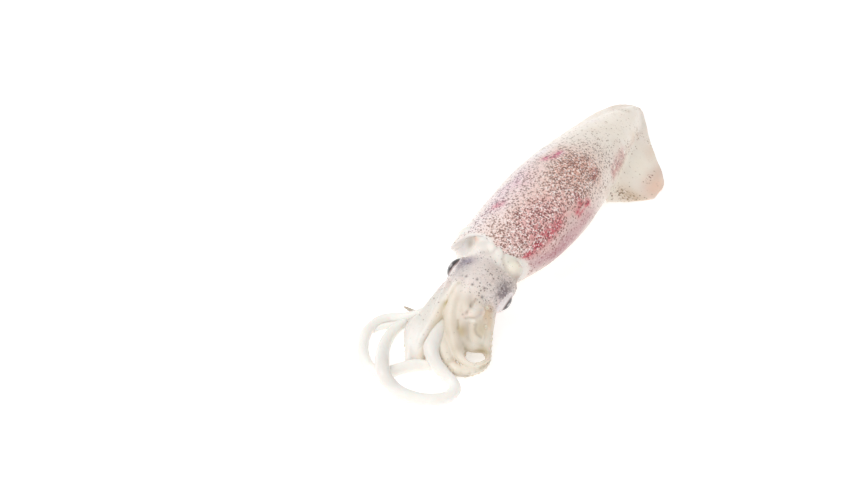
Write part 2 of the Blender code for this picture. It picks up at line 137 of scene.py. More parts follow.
# Limbs: x, y, z and radius along each one, root first
FUNNEL = ((-7, -57, 8, 4.6), (-8.5, -64, 6, 4.8), (-9.5, -71, 4.4, 3.8), (-10, -75.5, 3.4, 3))
ARMS = {
    "arm_left_1": ((-8, -79, 16, 4.4), (-11.2, -84.5, 16.2, 3.6), (-10.9, -90, 15.7, 3.1),
     (-10.6, -95.5, 13.9, 3.2), (-10.4, -101, 11.9, 3.3), (-10.8, -106, 9.6, 3.1),
     (-11.8, -111.4, 6.4, 2.8), (-11.8, -114.6, 4.4, 2.6), (-11.2, -117.6, 2.6, 2.2),
     (-10.4, -120.2, 1.8, 1.5)),
    "arm_left_2": ((-10, -77, 12, 4.6), (-13.2, -82.4, 12.8, 3.9), (-14.4, -87.4, 12.2, 3.5),
     (-15, -92, 11.2, 3.4), (-15.8, -97, 9.6, 3.4), (-16.8, -102, 7.8, 3.5), (-17.6, -107, 6, 3.5),
     (-17, -111.4, 4.4, 3.2), (-15.6, -115.2, 3.2, 2.7), (-14.2, -118.8, 2.4, 2.4),
     (-13.2, -122, 1.9, 1.7)),
    "arm_left_3": ((-11, -82, 5, 3.4), (-13.6, -89, 4.4, 2.6), (-17, -94, 3.6, 1.9), (-20.6, -95.4, 3, 1.4),
     (-24.8, -94.7, 2.5, 1.1), (-28, -93.8, 2.1, 0.85), (-31.3, -93, 1.8, 0.5)),
    "arm_right_1": ((-7, -78, 19, 4.8), (-6.4, -86.4, 18.8, 4.3), (-5.4, -91.4, 17.6, 4.1),
     (-4.8, -95.6, 15.6, 3.9), (-3.4, -100.4, 13, 3.6), (-1, -104.6, 10.4, 3.5), (2, -108.2, 8.2, 3.3),
     (4.6, -110.9, 6.9, 2.9), (7.4, -113.9, 6, 2.1), (10.9, -115.4, 5.5, 1.4), (14.2, -115.1, 5.2, 1.1),
     (16.9, -112.2, 4.9, 1), (18, -108.3, 4.6, 0.9), (16.8, -105, 4.2, 0.9), (13.8, -103.7, 3.8, 0.9)),
    "arm_right_2": ((-1, -78, 17, 4.6), (0.6, -84.8, 17, 4.1), (2.6, -90, 15, 4), (4.6, -94.8, 12, 3.9),
     (6.6, -98.4, 9.2, 3.9), (8.2, -100.8, 6.4, 3.8), (9.4, -102.2, 3.8, 3)),
    "arm_right_3": ((3, -77, 11.5, 4.6), (5.6, -82.6, 11, 3.7), (7.9, -88.2, 9.4, 3.3),
     (9.9, -93.2, 7.4, 3), (11.6, -97.6, 5.2, 2.8), (13.8, -101.4, 3.4, 2.3), (16.9, -105.6, 2.2, 1.3),
     (17, -110.6, 1.8, 1.6), (14, -115.8, 1.8, 2.1), (9, -118, 1.8, 2.5), (3.8, -116.2, 1.7, 2.8),
     (-0.4, -112.2, 1.7, 2.8), (-2.4, -107.4, 1.7, 2.4), (-3, -103.4, 1.5, 1.4)),
    "arm_right_4": ((-3, -82, 7, 4.2), (-1.2, -89.4, 7.6, 4), (0.6, -96.4, 6.8, 3.8),
     (1.8, -101.6, 5.8, 3.5), (3.8, -106.4, 4.2, 2.7), (6.2, -109, 3, 1.7)),
    "arm_curl": ((-2.6, -86, 18.6, 3.2), (-1.6, -91.4, 18, 2.8), (0.4, -95.2, 16.8, 2.6),
     (3.4, -96.8, 15.6, 2.4), (6.2, -95.6, 15.2, 2.1), (6.9, -93, 15.6, 1.7), (4.8, -91.6, 16.6, 1.3)),
}
TENTACLES = {
    "tentacle_left": ((-11, -87, 6.6, 3), (-17.8, -93, 5, 2.5), (-24.8, -98.4, 3, 2.1),
     (-29.5, -100.6, 2.3, 2), (-33.2, -102.6, 2, 2), (-36.2, -106.1, 1.9, 2.1), (-37.6, -110.6, 1.9, 2.1),
     (-37.6, -115.8, 2, 2.2), (-35.8, -121.7, 2, 2.2), (-32.5, -127.9, 2, 2.3), (-27.8, -133.1, 2.1, 2.4),
     (-22.2, -135.6, 2.2, 2.4), (-17.2, -134, 2.3, 2.4), (-13.4, -129.2, 2.4, 2.5), (-9.2, -125, 2.4, 2.6),
     (-5, -122.2, 2.2, 2.3), (-1.4, -120, 1.9, 1.8), (0.6, -116.8, 1.4, 1)),
    "tentacle_right": ((-9.4, -86, 9.6, 3), (-8.6, -92.6, 10.6, 2.6), (-7.9, -98.2, 10.2, 2.5),
     (-6.7, -104.4, 9.4, 2.7), (-5.9, -111, 8.8, 2.9), (-4.8, -117.2, 8, 3), (-0.4, -121.7, 6.2, 2.5),
     (4.8, -124.2, 4, 2.4), (9.7, -126, 2.4, 2.4), (13, -129.6, 2.2, 2.5), (12.4, -134.8, 2.2, 2.5),
     (7.8, -139.2, 2.2, 2.5), (1.2, -141.8, 2.3, 2.6), (-5.8, -143, 3.4, 2.7), (-11.4, -142.6, 6, 2.8),
     (-15.8, -139.6, 7.7, 2.8), (-21.2, -131.1, 5.6, 2.8), (-25.6, -121.6, 3.4, 2.5),
     (-27.6, -113.4, 2.2, 2.3), (-27.6, -107.4, 1.9, 2), (-26.4, -102.4, 1.8, 1.7)),
    "tentacle_right_tip": ((-26.8, -103.2, 1.9, 1.7), (-29.5, -105.6, 1.6, 1.5), (-32.4, -107.6, 1.5, 1.4),
     (-34.4, -110, 1.3, 1.2), (-35.4, -112.6, 1.1, 0.8)),
}

TENTACLE_SWELL = 1.1  # how much thicker the tentacles are drawn than their rows say
TIP_TURNS = (18, 36, 54, 72, 84)  # rings that round off a limb's end, in degrees
# The way each arm's suckers face at its root
SUCKERED = {
    "arm_left_1": (0.2, -0.6, -0.8),
    "arm_left_2": (-0.9, -0.1, -0.4),
    "arm_left_3": (0, -0.5, -0.9),
    "arm_right_1": (0.5, 0.3, -0.6),
    "arm_right_2": (0.9, 0.1, -0.3),
    "arm_right_3": (0.9, 0.2, 0.1),
    "arm_right_4": (0.2, -0.3, -0.9),
}
CUP_SPAN = (0.30, 0.97)  # the stretch of an arm that carries suckers, as shares of its length
CUP_SHIFT = 0.42  # how far each of the two rows stands off the middle
CUP_GAP = (0.52, 0.12)  # spacing: share of the arm's radius, and what is added
CUP_SIZE = (0.24, 0.26)  # radius: share of the arm's, and the least
CUP_BURIED = 1.25  # skin further out than this many radii is other flesh
CUP_SIDES = 12
CUP_PROFILE = ((0.7, -0.5), (0.95, 0), (1, 0.3), (0.86, 0.48), (0.62, 0.4), (0.4, 0.16), (0.2, 0.08))

MANTLE_VOXEL = 0.55
HEAD_VOXEL = 0.42
RELAX_STEPS = (0.55, -0.57)  # in and out again, so that smoothing doesn't shrink the form
# Seam along each fin's root that is smoothed: y, distance from the middle, half width
FIN_SEAM = ((20, 50, 84), (16, 13, 4), (6, 5, 2.2))


# ---------------------------------------------------------------- curves
def smooth_at(knots, s):
    """Catmull-Rom value of a list of equal-length tuples at knot position s."""
    last = len(knots) - 1
    s = min(max(s, 0.0), float(last))
    i = min(int(s), last - 1)
    f = s - i
    a, b, c, d = (knots[min(max(i + k, 0), last)] for k in (-1, 0, 1, 2))
    return tuple(
        0.5 * (2 * q + (r - p) * f + (2 * p - 5 * q + 4 * r - t) * f * f + (3 * q - p - 3 * r + t) * f ** 3)
        for p, q, r, t in zip(a, b, c, d)
    )


def by_first(knots, value):
    """The tuple at a given value of the first column, which must rise along the list."""
    for i in range(len(knots) - 1):
        low, high = knots[i][0], knots[i + 1][0]
        if value <= high:
            return smooth_at(knots, i + max(0.0, (value - low) / (high - low)))
    return knots[-1]


def rim_shift(angle):
    """Offset of the mantle's front edge at an angle in degrees from the top."""
    before = [(turn - 360, shift) for turn, shift in RIM_LOBES[-1:]]
    after = [(turn + 360, shift) for turn, shift in RIM_LOBES[:2]]
    return by_first([*before, *RIM_LOBES, *after], angle)[1]


def unit(v):
    """A numpy vector of length one."""
    return v / max(1e-9, float(np.linalg.norm(v)))


# ---------------------------------------------------------------- meshes
def mesh_of(name, verts, faces):
    """A mesh from millimetre points."""
    mesh = bpy.data.meshes.new(name)
    mesh.from_pydata([(x * MM, y * MM, z * MM) for x, y, z in verts], [], faces)
    shape = bmesh.new()
    shape.from_mesh(mesh)
    bmesh.ops.recalc_face_normals(shape, faces=shape.faces)
    shape.to_mesh(mesh)
    shape.free()
    return mesh


def worked(mesh, kind, **settings):
    """The mesh after one modifier of that kind."""
    obj = bpy.data.objects.new(mesh.name, mesh)
    bpy.context.scene.collection.objects.link(obj)
    mod = obj.modifiers.new(kind.lower(), kind)
    for key, value in settings.items():
        setattr(mod, key, value)
    bpy.context.view_layer.update()
    graph = bpy.context.evaluated_depsgraph_get()
    done = bpy.data.meshes.new_from_object(obj.evaluated_get(graph))
    bpy.data.objects.remove(obj)
    return done


def tube(rings, base=0):
    """Points and faces of a closed tube over rings of equal length; base is the first point's number."""
    count = len(rings[0])
    faces = []
    for r in range(len(rings) - 1):
        for k in range(count):
            n = (k + 1) % count
            low, high = base + r * count, base + (r + 1) * count
            faces.append((low + k, low + n, high + n, high + k))
    for low in (base, base + (len(rings) - 1) * count):
        faces.append(tuple(range(low, low + count)))
    return [tuple(point) for ring in rings for point in ring], faces


def loft(name, rings, levels=3):
    """A closed smooth skin over rings of equal length."""
    return worked(mesh_of(name, *tube(rings)), "SUBSURF", levels=levels, render_levels=levels)


def voxel_skin(name, parts, size):
    """One closed mesh round overlapping closed meshes."""
    shape = bmesh.new()
    for part in parts:
        shape.from_mesh(part)
    mesh = bpy.data.meshes.new(name)
    shape.to_mesh(mesh)
    shape.free()
    return worked(mesh, "REMESH", mode="VOXEL", voxel_size=size * MM, adaptivity=0.0)


def read(mesh, what):
    """One vector for each point of the mesh, as an array."""
    flat = np.empty(len(mesh.vertices) * 3)
    mesh.vertices.foreach_get(what, flat)
    return flat.reshape(-1, 3)


def normals_of(mesh):
    """The mesh's point normals."""
    return read(mesh, "normal")


def points_of(mesh):
    """The mesh's points in millimetres."""
    return read(mesh, "co") / MM


def put_points(mesh, points):
    """Give the mesh new points, in millimetres."""
    mesh.vertices.foreach_set("co", (points * MM).ravel())
    mesh.update()


def soften(mesh, rounds, weight=1.0, steps=(0.5,)):
    """Move points towards their neighbours' middle by each step; weight, from 0 to 1, says where."""
    points = points_of(mesh)
    edges = np.empty(len(mesh.edges) * 2, dtype=np.int64)
    mesh.edges.foreach_get("vertices", edges)
    a, b = edges.reshape(-1, 2).T
    size = len(points)
    count = np.maximum(1, np.bincount(a, minlength=size) + np.bincount(b, minlength=size))[:, None]
    weight = np.reshape(weight, (-1, 1))
    for amount in steps * rounds:
        total = np.stack([
            np.bincount(a, points[b, k], size) + np.bincount(b, points[a, k], size) for k in range(3)
        ], axis=1)
        points = points + amount * weight * (total / count - points)
    put_points(mesh, points)


def fill_creases(mesh, rounds, weight):
    """Raise hollows towards the smoothed surface and leave what bulges; weight says where."""
    before, normals = points_of(mesh), normals_of(mesh)
    soften(mesh, rounds)
    rise = np.sum((points_of(mesh) - before) * normals, axis=1)
    put_points(mesh, before + normals * (np.maximum(0.0, rise) * weight)[:, None])


def settle(mesh, points, rise):
    """Move the mesh's points to new places along their normals, and none below the surface it lies on."""
    points = points + normals_of(mesh) * rise[:, None]
    points[:, 2] = np.maximum(points[:, 2], 0.0)
    put_points(mesh, points)


def ball(name, centre, half, parts=(48, 32)):
    """A closed ellipsoid."""
    mesh = bpy.data.meshes.new(name)
    shape = bmesh.new()
    bmesh.ops.create_uvsphere(shape, u_segments=parts[0], v_segments=parts[1], radius=1.0)
    bmesh.ops.scale(shape, vec=[h * MM for h in half], verts=shape.verts)
    bmesh.ops.translate(shape, vec=[c * MM for c in centre], verts=shape.verts)
    shape.to_mesh(mesh)
    shape.free()
    return mesh


def ripple(points, spacing, seed):
    """Soft noise from -1 to 1 at each point, with bumps about spacing millimetres across."""
    shift = Vector((seed * 17.3, seed * 5.1, seed * 9.7))
    return np.array([noise.noise(Vector(p) / spacing + shift) for p in points.tolist()])


def blob(points, centre, radius):
    """1 at the centre, falling smoothly to nearly 0 at twice the radius."""
    gap = (points - np.array(centre)) / np.array(radius)
    return np.exp(-np.sum(gap * gap, axis=1))


# ---------------------------------------------------------------- mantle
def mantle_ring(fraction, inset=0.0, floor=0.0, shift=0.0, swell=0.0):
    """One section of the mantle: half width, height and sag follow the stations."""
    _, centre, half, height = by_first(MANTLE_STATIONS, fraction)
    turns = np.linspace(-180.0, 180.0, MANTLE_SIDES, endpoint=False)
    angles = np.radians(turns)
    deep = inset + LINING * swell * np.exp(-((turns - LINING_TURN) / LINING_SPREAD) ** 2)
    fade = max(0.0, 1.0 - fraction / RIM_FADE) ** 1.5
    x = centre + (half - deep) * np.sin(angles)
    y = RIM_Y + (TAIL_Y - RIM_Y) * fraction + shift + fade * np.array([rim_shift(t) for t in turns])
    z = height / 2 - BELLY_SAG + (height / 2 + BELLY_SAG - deep) * np.cos(angles)
    return np.stack((x, y, np.maximum(z, floor)), axis=1)


def mantle_form():
    """Outer skin from rim to tail tip, turned in at the rim to line the mouth."""
    depth = MOUTH_DEPTH / (TAIL_Y - RIM_Y)
    rings = [mantle_ring(share * depth, *rest) for share, *rest in MOUTH_RINGS]
    rings += [mantle_ring(fraction) for fraction in SKIN_RINGS]
    return loft("mantle_form", rings)


def fin_form(name, side):
    """One fin: a thin blade from the mantle's flank to its free edge."""
    shape = (FIN_STEPS + 1, FIN_RIBS + 1)
    blade, thick = np.empty((*shape, 3)), np.empty((*shape, 1))
    for i, u in enumerate(np.linspace(0.0, 1.0, shape[0])):
        edge_x, edge_y, edge_z = smooth_at(FIN_EDGES[side], u * (len(FIN_EDGES[side]) - 1))
        root_y = FIN_FRONT_Y + FIN_ROOT_BACK + (FIN_BACK_Y - FIN_FRONT_Y - FIN_ROOT_BACK) * u
        _, centre, half, height = by_first(MANTLE_STATIONS, (root_y - RIM_Y) / (TAIL_Y - RIM_Y))
        out, up = FIN_ROOT[side]
        root_x = centre + side * half * out
        v = np.linspace(0.0, 1.0, shape[1])
        drop = (1.0 - v) ** 1.7 if side > 0 else 1.0 - v ** 1.25
        wave = FIN_WAVE * math.sin(u * 17.0) * v * v * math.sin(math.pi * u)
        blade[i, :, 0] = root_x + (edge_x - root_x) * v
        blade[i, :, 1] = root_y + (edge_y - root_y) * v
        blade[i, :, 2] = edge_z + (height * up - edge_z) * drop + wave
        thick[i, :, 0] = np.minimum(FIN_ROOT_THICK + (FIN_EDGE_THICK - FIN_ROOT_THICK) * v, 0.35 * height)
    normals = np.cross(np.gradient(blade, axis=1), np.gradient(blade, axis=0)) * side
    offset = normals / np.linalg.norm(normals, axis=2, keepdims=True) * thick / 2
    return mesh_of(name, *tube(np.concatenate((blade + offset, (blade - offset)[:, ::-1]), axis=1)))


# ---------------------------------------------------------------- limbs
def limb_route(knots, step, face):
    """Centres, radii and frames along a limb; face is the way its suckered side looks at the root."""
    samples = []
    for i in range(len(knots) - 1):
        gap = math.dist(knots[i][:3], knots[i + 1][:3])
        pieces = max(1, round(gap / step))
        samples += [smooth_at(knots, i + k / pieces) for k in range(pieces)]
    samples.append(knots[-1])
    route = np.array(samples)
    centres, radii = route[:, :3], route[:, 3]
    tangents = np.gradient(centres, axis=0)
    facing = np.array(face, dtype=float)
    frames = []
    for tangent in tangents:
        tangent = unit(tangent)
        facing = unit(facing - tangent * float(facing @ tangent))
        frames.append((tangent, np.cross(tangent, facing), facing))
    return centres, radii, frames


def limb_form(name, knots, sides=28, step=0.8, flat=0.12, keel=0.06):
    """A tapering limb, a little flatter underneath, with a rounded end."""
    centres, radii, frames = limb_route(knots, step, (0.0, 0.0, -1.0))
    angles = np.linspace(0.0, 2 * math.pi, sides, endpoint=False)
    across, out = np.cos(angles)[:, None], np.sin(angles)[:, None]
    bulge = 1.0 + keel * np.maximum(0.0, -out) ** 3 - flat * np.maximum(0.0, out) ** 1.5
    rings = [
        centre + radius * bulge * (side * across * (1.0 + 0.04 * np.abs(across)) + facing * out)
        for centre, radius, (_, side, facing) in zip(centres, radii, frames)
    ]
    tangent, side, facing = frames[-1]
    for turn in np.radians(TIP_TURNS):
        ahead = tangent * math.sin(turn) * 1.1
        rings.append(centres[-1] + radii[-1] * (ahead + (side * across + facing * out) * math.cos(turn)))
    return mesh_of(name, *tube(rings))


def soft_limb(name, knots):
    """A limb with a round section."""
    return limb_form(name, knots, flat=0.0, keel=0.0)


# ---------------------------------------------------------------- head
def collar_form():
    """A soft roll just inside the mantle's rim."""
    _, centre, half, height = by_first(MANTLE_STATIONS, 0.02)
    inset = COLLAR_RADIUS + 0.5
    knots = []
    for degrees in COLLAR_TURN:
        angle = math.radians(degrees)
        x = centre + (half - inset) * math.sin(angle)
        z = height / 2 - BELLY_SAG + (height / 2 + BELLY_SAG - inset) * math.cos(angle)
        y = RIM_Y + rim_shift(degrees) + COLLAR_BACK
        knots.append((x, y, max(z, COLLAR_RADIUS), COLLAR_RADIUS))
    return soft_limb("collar", knots)


def head_form():
    """Neck, head and crown as one soft form, flat where it rests."""
    angles = np.linspace(0.0, 2 * math.pi, HEAD_SIDES, endpoint=False)
    rings = []
    for y, centre, half, top, bottom in HEAD_STATIONS:
        sink = 0.8 if bottom < 1.0 else 0.0
        z = (top + bottom) / 2 + ((top - bottom) / 2 + sink) * np.cos(angles)
        rings.append([(centre + half * math.sin(a), y, max(height, 0.0)) for a, height in zip(angles, z)])
    return loft("head_form", rings)


# ---------------------------------------------------------------- paint
def linear(rgb):
    """An sRGB colour, 0 to 255, as linear numbers."""
    values = np.array(rgb, dtype=float) / 255.0
    return np.where(values <= 0.04045, values / 12.92, ((values + 0.055) / 1.055) ** 2.4)


def paint(colours, weight, rgb):
    """Mix a colour in where weight is above 0."""
    weight = np.clip(weight, 0.0, 1.0)[:, None]
    return colours * (1.0 - weight) + linear(rgb) * weight


def patches(colours, place, table, where=1.0):
    """Mix in each patch of a table of centres, half sizes, colours and strengths."""
    for centre, half, rgb, strength in table:
        colours = paint(colours, strength * where * blob(place, centre, half), rgb)
    return colours


def plain(points, rgb):
    """One colour at every point."""
    return np.tile(linear(rgb), (len(points), 1))


def wear(mesh, colours, ink, spots):
    """Keep what the flesh material reads: colour, colour of the spots and how thickly they sit."""
    store(mesh, "flesh", colours)
    store(mesh, "ink", ink)
    store(mesh, "spots", np.clip(spots, 0.0, 1.0))


def store(mesh, name, values):
    """Keep a number or a colour for each point of the mesh."""
    if values.ndim == 2:
        full = np.ones((len(values), 4), dtype=np.float32)
        full[:, :3] = values
        mesh.attributes.new(name, "FLOAT_COLOR", "POINT").data.foreach_set("color", full.ravel())
    else:
        kept = values.astype(np.float32)
        mesh.attributes.new(name, "FLOAT", "POINT").data.foreach_set("value", kept)


def ease(value, start, end):
    """0 before start, 1 past end (start may be the larger), smooth between."""
    f = np.clip((value - start) / (end - start), 0.0, 1.0)
    return f * f * (3.0 - 2.0 * f)


def flank_angle(points):
    """Degrees round the mantle from its top, + towards +X."""
    along = np.linspace(0.0, 1.0, 60)
    table = [by_first(MANTLE_STATIONS, f) for f in along]
    share = np.clip((points[:, 1] - RIM_Y) / (TAIL_Y - RIM_Y), 0.0, MANTLE_STATIONS[-1][0])
    centre, half, height = (np.interp(share, along, [t[k] for t in table]) for k in (1, 2, 3))
    x, _, z = points.T
    return np.degrees(np.arctan2((x - centre) / half, (z - height / 2) / (height / 2)))


def outwards(points, normals):
    """How far each normal points away from the mantle's middle line, times the distance from it."""
    share = np.clip((points[:, 1] - RIM_Y) / (TAIL_Y - RIM_Y), 0.0, 0.9)
    stations, centres, _, heights = zip(*MANTLE_STATIONS)
    x = points[:, 0] - np.interp(share, stations, centres)
    z = points[:, 2] - 0.5 * np.interp(share, stations, heights)
    return normals[:, 0] * x + normals[:, 2] * z


def along_line(points, knots, radius):
    """1 on a line through the knots, falling smoothly to nearly 0 at twice the radius."""
    nearest = np.full(len(points), 1e9)
    for a, b in zip(knots, knots[1:]):
        a, b = np.array(a), np.array(b)
        share = np.clip((points - a) @ (b - a) / float((b - a) @ (b - a)), 0.0, 1.0)[:, None]
        nearest = np.minimum(nearest, np.linalg.norm(points - a - share * (b - a), axis=1))
    return np.exp(-((nearest / radius) ** 2))


def eye_angle(points, centre, half, way):
    """Each point's reach from the eye's centre in eye radii, and its angle from a direction, in degrees."""
    arm = (points - np.array(centre)) / np.array(half)
    reach = np.linalg.norm(arm, axis=1)
    facing = np.array(way) / np.linalg.norm(way)
    return reach, np.degrees(np.arccos(np.clip(arm @ facing / np.maximum(reach, 1e-6), -1.0, 1.0)))


# Colours, sRGB 0 to 255
SKIN = (246, 236, 225)
BACK_INK, TAIL_INK, HEAD_INK = (146, 122, 102), (164, 136, 114), (112, 96, 92)
TAIL_MOTTLE = (226, 206, 186)
RIM_WHITE, LINING_WHITE = (230, 223, 216), (236, 232, 232)
ARM_CREAM, ARM_LEFT, ARM_LEFT_END = (226, 215, 200), (227, 222, 214), (239, 235, 229)
# The second of these is painted light: paler colour on the shaded lower part of the arms on the right
ARM_END, ARM_HOOK_PAINTED_LIGHT = (242, 233, 218), (246, 240, 228)
HEAD_LILAC, COLLAR_WHITE, LID = (228, 217, 211), (243, 237, 229), (240, 229, 230)
BLOT, MARK = (92, 74, 70), (190, 162, 136)
CUP_CREAM = (236, 224, 204)
TENTACLE, TENTACLE_MOTTLE = (250, 248, 244), (245, 242, 234)
# The first of these is painted shade: greyer colour for tentacle parts lying high off the floor, which catch
# more light
TENTACLE_RAISED_SHADE, TENTACLE_ROOT = (234, 230, 224), (228, 218, 201)
EYE_WHITE, IRIS, PUPIL, GLINT = (238, 230, 228), (150, 128, 124), (46, 40, 43), (196, 190, 190)

MOUTH_END_Y = -48.0  # ahead of this, skin that faces inwards is the mouth's lining
TAIL_FADE = (22, 44)  # y between which the back gives way to the paler tail
# Width of the rim that has no pigment, by angle from the top
RIM_BARE = ((-80, -50, 0, 62, 90, 110), (3, 1.2, 0.4, 0.4, 1.8, 2.6))
SPOTS_ALONG = ((-50, 22, 36, 60, 85), (0.30, 0.27, 0.11, 0.05, 0.02))  # y, how thickly the spots sit
# Patches of colour in the mantle's skin, one of them also painted shade on the lower right flank: y and
# angle from the top, their half sizes, colour, strength
MANTLE_TINTS_AND_SHADE = (
    ((-33, -30), (32, 24), (240, 220, 226), 0.85),
    ((-57, -30), (9, 26), (244, 236, 236), 0.6),
    ((5, -36), (8, 14), (240, 236, 244), 0.6),
    ((-40, 32), (28, 38), (238, 187, 183), 0.95),
    ((-24, -18), (9, 12), (238, 206, 216), 0.45),
    ((-4, 24), (19, 36), (234, 182, 167), 0.95),
    ((2, 30), (9, 22), (226, 176, 156), 0.6),
    # rosy colour of the lower right flank, painted darker as shade of that side
    ((-38, 98), (30, 28), (186, 138, 144), 0.97),
    ((-50, 78), (9, 12), (220, 176, 168), 0.7),
    ((-17, 90), (11, 12), (200, 150, 152), 0.8),
    ((31, 78), (6.5, 17), (228, 186, 168), 0.75),
    ((37, 102), (5, 9), (232, 202, 188), 0.6),
    ((60, 25), (26, 45), (247, 238, 220), 0.6),
    ((53, -20), (5, 12), (236, 222, 228), 0.5),
)
# The same for the bruised red blotches
RED_PATCHES = (
    ((-46, 58), (8, 10), (216, 112, 116), 0.6),
    ((-46, 40), (6, 7), (222, 128, 128), 0.65),
    ((-30, 56), (8, 10), (222, 140, 138), 0.6),
    ((-24, -28), (5, 8), (232, 180, 200), 0.5),
)
# Bruises that run along a line on the mantle: points, half width, colour, strength
STREAKS = (
    (((9.8, -56.6, 19.6), (11.3, -52.7, 21), (12.7, -48.9, 22.7), (14, -44.1, 24.2)), 2.4,
     (196, 50, 72), 1),
    (((14, -44.1, 24.2), (15.4, -39.3, 25), (16, -35.3, 26)), 2.6, (208, 82, 98), 0.8),
    (((19.5, -22.1, 24.1), (19.7, -17.3, 24.3), (20.1, -12.7, 23.9)), 2, (206, 66, 88), 1),
    (((15.9, -17, 29.1), (18.4, -17.7, 26.3)), 1.8, (208, 96, 104), 0.8),
    (((16.4, 0.2, 27.5), (15.2, 6.3, 27.6)), 1.8, (190, 96, 88), 0.7),
    (((-6.1, -3.9, 33.6), (-3.4, -1, 33.8), (-2.3, 4.1, 33.1)), 2.2, (214, 106, 138), 0.9),
    (((-11.8, -43.5, 31.3), (-10.3, -41.3, 32.1)), 2.2, (220, 132, 150), 0.8),
    (((18.4, 20, 18.2), (16.6, 31, 16.4), (14.8, 41, 14.2)), 3.2, (200, 128, 120), 0.9),
    (((14.4, 43, 14), (12.6, 56.1, 8.8), (10.4, 68, 5.6)), 1.6, (208, 176, 156), 0.7),
)
# How thickly the colour spots sit: y and angle, half sizes, share
SPOT_PATCHES = (
    ((-48, 34), (26, 36), 1), ((-6, 26), (24, 40), 1), ((-36, -26), (34, 26), 0.64),
    ((16, 30), (14, 34), 0.5), ((31, 82), (8, 16), 0.5), ((-36, 92), (30, 18), 0.45),
    ((-54, 88), (7, 16), 0.5), ((16, 68), (9, 18), 0.42),
)
# What colour the spots are: y and angle, half sizes, colour, strength
INK_PATCHES = (
    ((-40, 34), (34, 42), (120, 50, 46), 1),
    ((2, 26), (20, 34), (104, 50, 36), 1),
    ((-36, 96), (30, 20), (164, 96, 104), 1),
    ((-34, -34), (34, 20), (134, 100, 116), 0.9),
    ((31, 82), (8, 16), (170, 102, 84), 0.8),
)
# Patches of colour on the fins: their own tints, and painted light on the right fin near the mantle and on
# the tail's top, which lie in shade: centre, half sizes, colour, strength
FIN_TINTS_AND_PAINTED_LIGHT = (
    # these two are painted light: paler colour where the right fin and the tail's top lie in shade
    ((20, 46, 6), (8, 22, 8), (255, 246, 231), 0.95),
    ((4, 62, 14), (12, 26, 12), (255, 244, 231), 0.9),
    ((30, 50, 2), (4, 14, 4), (222, 196, 178), 0.75),
    ((20, 62, 2), (5, 9, 3), (240, 222, 204), 0.7),
    ((10.8, 59.6, 10), (1.6, 8, 3), (236, 214, 190), 0.6),
    ((33.5, 38, 2), (5, 9, 4), (236, 200, 178), 0.8),
    ((27, 26.4, 3), (8, 3.4, 4), (216, 192, 164), 0.8),
    ((-2, 76.5, 10.5), (4, 3, 4), (216, 204, 186), 0.7),
)
# Clusters of spots along the fins' roots and front edges: centre, half sizes, share, colour
FIN_SPOTS = (
    ((25, 25, 3), (9, 3.4, 5), 0.6, (168, 142, 110)),
    ((18.6, 22, 6.5), (3.5, 4, 5), 0.36, (140, 112, 92)),
    ((16.8, 31, 16.4), (3, 9, 4.5), 0.85, (150, 84, 78)),
    ((13.6, 49, 11.5), (2, 9, 4), 0.66, (156, 118, 96)),
    ((9.9, 68, 5.6), (2.6, 5, 3), 0.5, (160, 130, 100)),
    ((14.9, 70.2, 2.1), (2, 3, 2), 0.4, (160, 130, 100)),
    ((28.5, 42.4, 2.8), (1.6, 4, 2), 0.45, (150, 104, 90)),
    ((-2, 76.5, 10.5), (4, 3, 4), 0.45, (160, 130, 100)),
)


